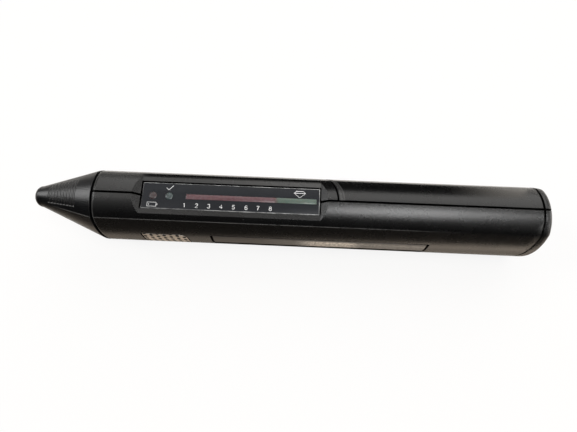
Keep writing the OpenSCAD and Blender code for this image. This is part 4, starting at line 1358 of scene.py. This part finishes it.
class TESTER_OT_inside(bpy.types.Operator):
    """Gives the probe, the circuit and the battery bay their finishes"""

    bl_idname = "tester.inside"
    bl_label = "Inside"

    def execute(self, context):
        dress(moulded_plastic("nose_plastic", (0.02, 0.02, 0.022), (0.09,) * 3, 0.38), "probe_nose")
        dress(moulded_plastic("buzzer_plastic", (0.014, 0.014, 0.015), (0.06,) * 3, 0.4), "buzzer")
        dress(worked_metal("copper_tip", (0.78, 0.42, 0.27), 0.24, 600.0), "probe_tip")
        dress(worked_metal("pressed_steel", (0.55, 0.55, 0.56), 0.3, 400.0), "switch_case")
        brass = worked_metal("turned_brass", (0.74, 0.56, 0.26), 0.28, 500.0)
        dress(brass, "probe_plug", "touch_contact")
        nickel = worked_metal("nickel_plate", (0.66, 0.65, 0.62), 0.22, 500.0)
        dress(nickel, "cell_springs", "front_contacts", "link_contact")
        wind_spring(context.scene.tester_housing, nickel)
        dress(fired_ceramic(), "probe_heater")
        dress(insulated_wire("red_wire", (0.4, 0.02, 0.018)), "probe_leads")
        dress(insulated_wire("black_wire", (0.015, 0.015, 0.016)), "battery_leads", "socket_lead")
        dress(circuit_board(), "main_board")
        for node in ("control_chip", "amplifier_chip"):
            dress(chip_body(node), node)
        dress(lamp_plastic("lamp_chips", (0.75, 0.7, 0.5)), "bar_lamps")
        dress(cell_wrap("cell_upper", False), "cell_upper")
        dress(cell_wrap("cell_lower", True), "cell_lower")
        return {"FINISHED"}


class TESTER_OT_stage(bpy.types.Operator):
    """Sets up the camera, the pale floor, the soft lamps and the room"""

    bl_idname = "tester.stage"
    bl_label = "Stage"

    def execute(self, context):
        scene, stage = context.scene, context.scene.tester_stage
        scene.view_settings.view_transform = "Standard"
        add_camera(scene, stage)
        add_floor(stage)
        add_lamp(scene, "key_lamp", stage.key_power, (0.25, -0.16, 0.96), 0.5, 0.38)
        add_lamp(scene, "side_lamp", stage.side_power, (-0.78, 0.17, 0.56), 0.42, 0.42)
        fill_lamp = add_lamp(scene, "fill_lamp", stage.fill_power, (0.2, 0.85, 0.7), 1.7, 1.0)
        fill_lamp.visible_glossy = False
        near, far = [corner[1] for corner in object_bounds()]
        glow = stage.fill_glow
        add_card("fill_panel", (1.7, 1.1), (0.2, 0.82, 0.74), (-50, 0, 0), glow)
        add_card("left_panel", (0.4, 0.28), (-0.45, 0.1, 0.88), (-6, -27, 0), 0.85 * glow)
        add_card("right_panel", (0.5, 0.9), (0.92, -0.05, 0.36), (0, 69, 0), 1.5 * glow)
        add_card(
            "back_card", (0.118, 0.0115), (0.014, far + 3 * MM, 0.02675), (90, 0, 0),
            lambda x, y: x.spread(48 * MM, 74 * MM, 0.0, 1.05 * glow), (1, 0.94, 0.86, 1),
        )
        add_card(
            "front_card", (2.0, 0.5), (0, near - 0.5 * MM - 0.25, 0.1 * MM), (0, 0, 0),
            lambda x, y: floor_glow(x, near - y), (1, 0.85, 0.7, 1),
        )
        add_room(scene, stage)
        return {"FINISHED"}


class TESTER_PT_panel(bpy.types.Panel):
    """Lists the steps that dress the tester"""

    bl_idname = "TESTER_PT_panel"
    bl_label = "Diamond Tester"
    bl_space_type = "VIEW_3D"
    bl_region_type = "UI"
    bl_category = "Tester"

    def draw(self, context):
        for operator in OPERATORS:
            self.layout.operator(operator.bl_idname)
        for label in GROUPS:
            group = getattr(context.scene, label)
            for key in group.bl_rna.properties.keys():
                if key not in ("name", "rna_type"):
                    self.layout.prop(group, key)


OPERATORS = (
    TESTER_OT_stage, TESTER_OT_housing, TESTER_OT_inside, TESTER_OT_cap, TESTER_OT_window,
    TESTER_OT_lamps, TESTER_OT_signs,
)
GROUPS = {
    "tester_cap": TesterCap, "tester_housing": TesterHousing, "tester_signs": TesterSigns,
    "tester_finish": TesterFinish, "tester_stage": TesterStage,
}
CLASSES = (*GROUPS.values(), *OPERATORS, TESTER_PT_panel)


def register():
    """Registers the classes and the settings."""
    for item in CLASSES:
        bpy.utils.register_class(item)
    for label, group in GROUPS.items():
        setattr(bpy.types.Scene, label, PointerProperty(type=group))


def unregister():
    """Removes the classes and the settings."""
    for label in GROUPS:
        delattr(bpy.types.Scene, label)
    for item in reversed(CLASSES):
        bpy.utils.unregister_class(item)


def main():
    """Dresses the tester."""
    register()
    make_effects()
    bpy.ops.tester.stage()
    bpy.ops.tester.housing()
    bpy.ops.tester.inside()
    bpy.ops.tester.cap()
    bpy.ops.tester.window()
    bpy.ops.tester.lamps()
    bpy.ops.tester.signs()


if __name__ == "__main__":
    main()
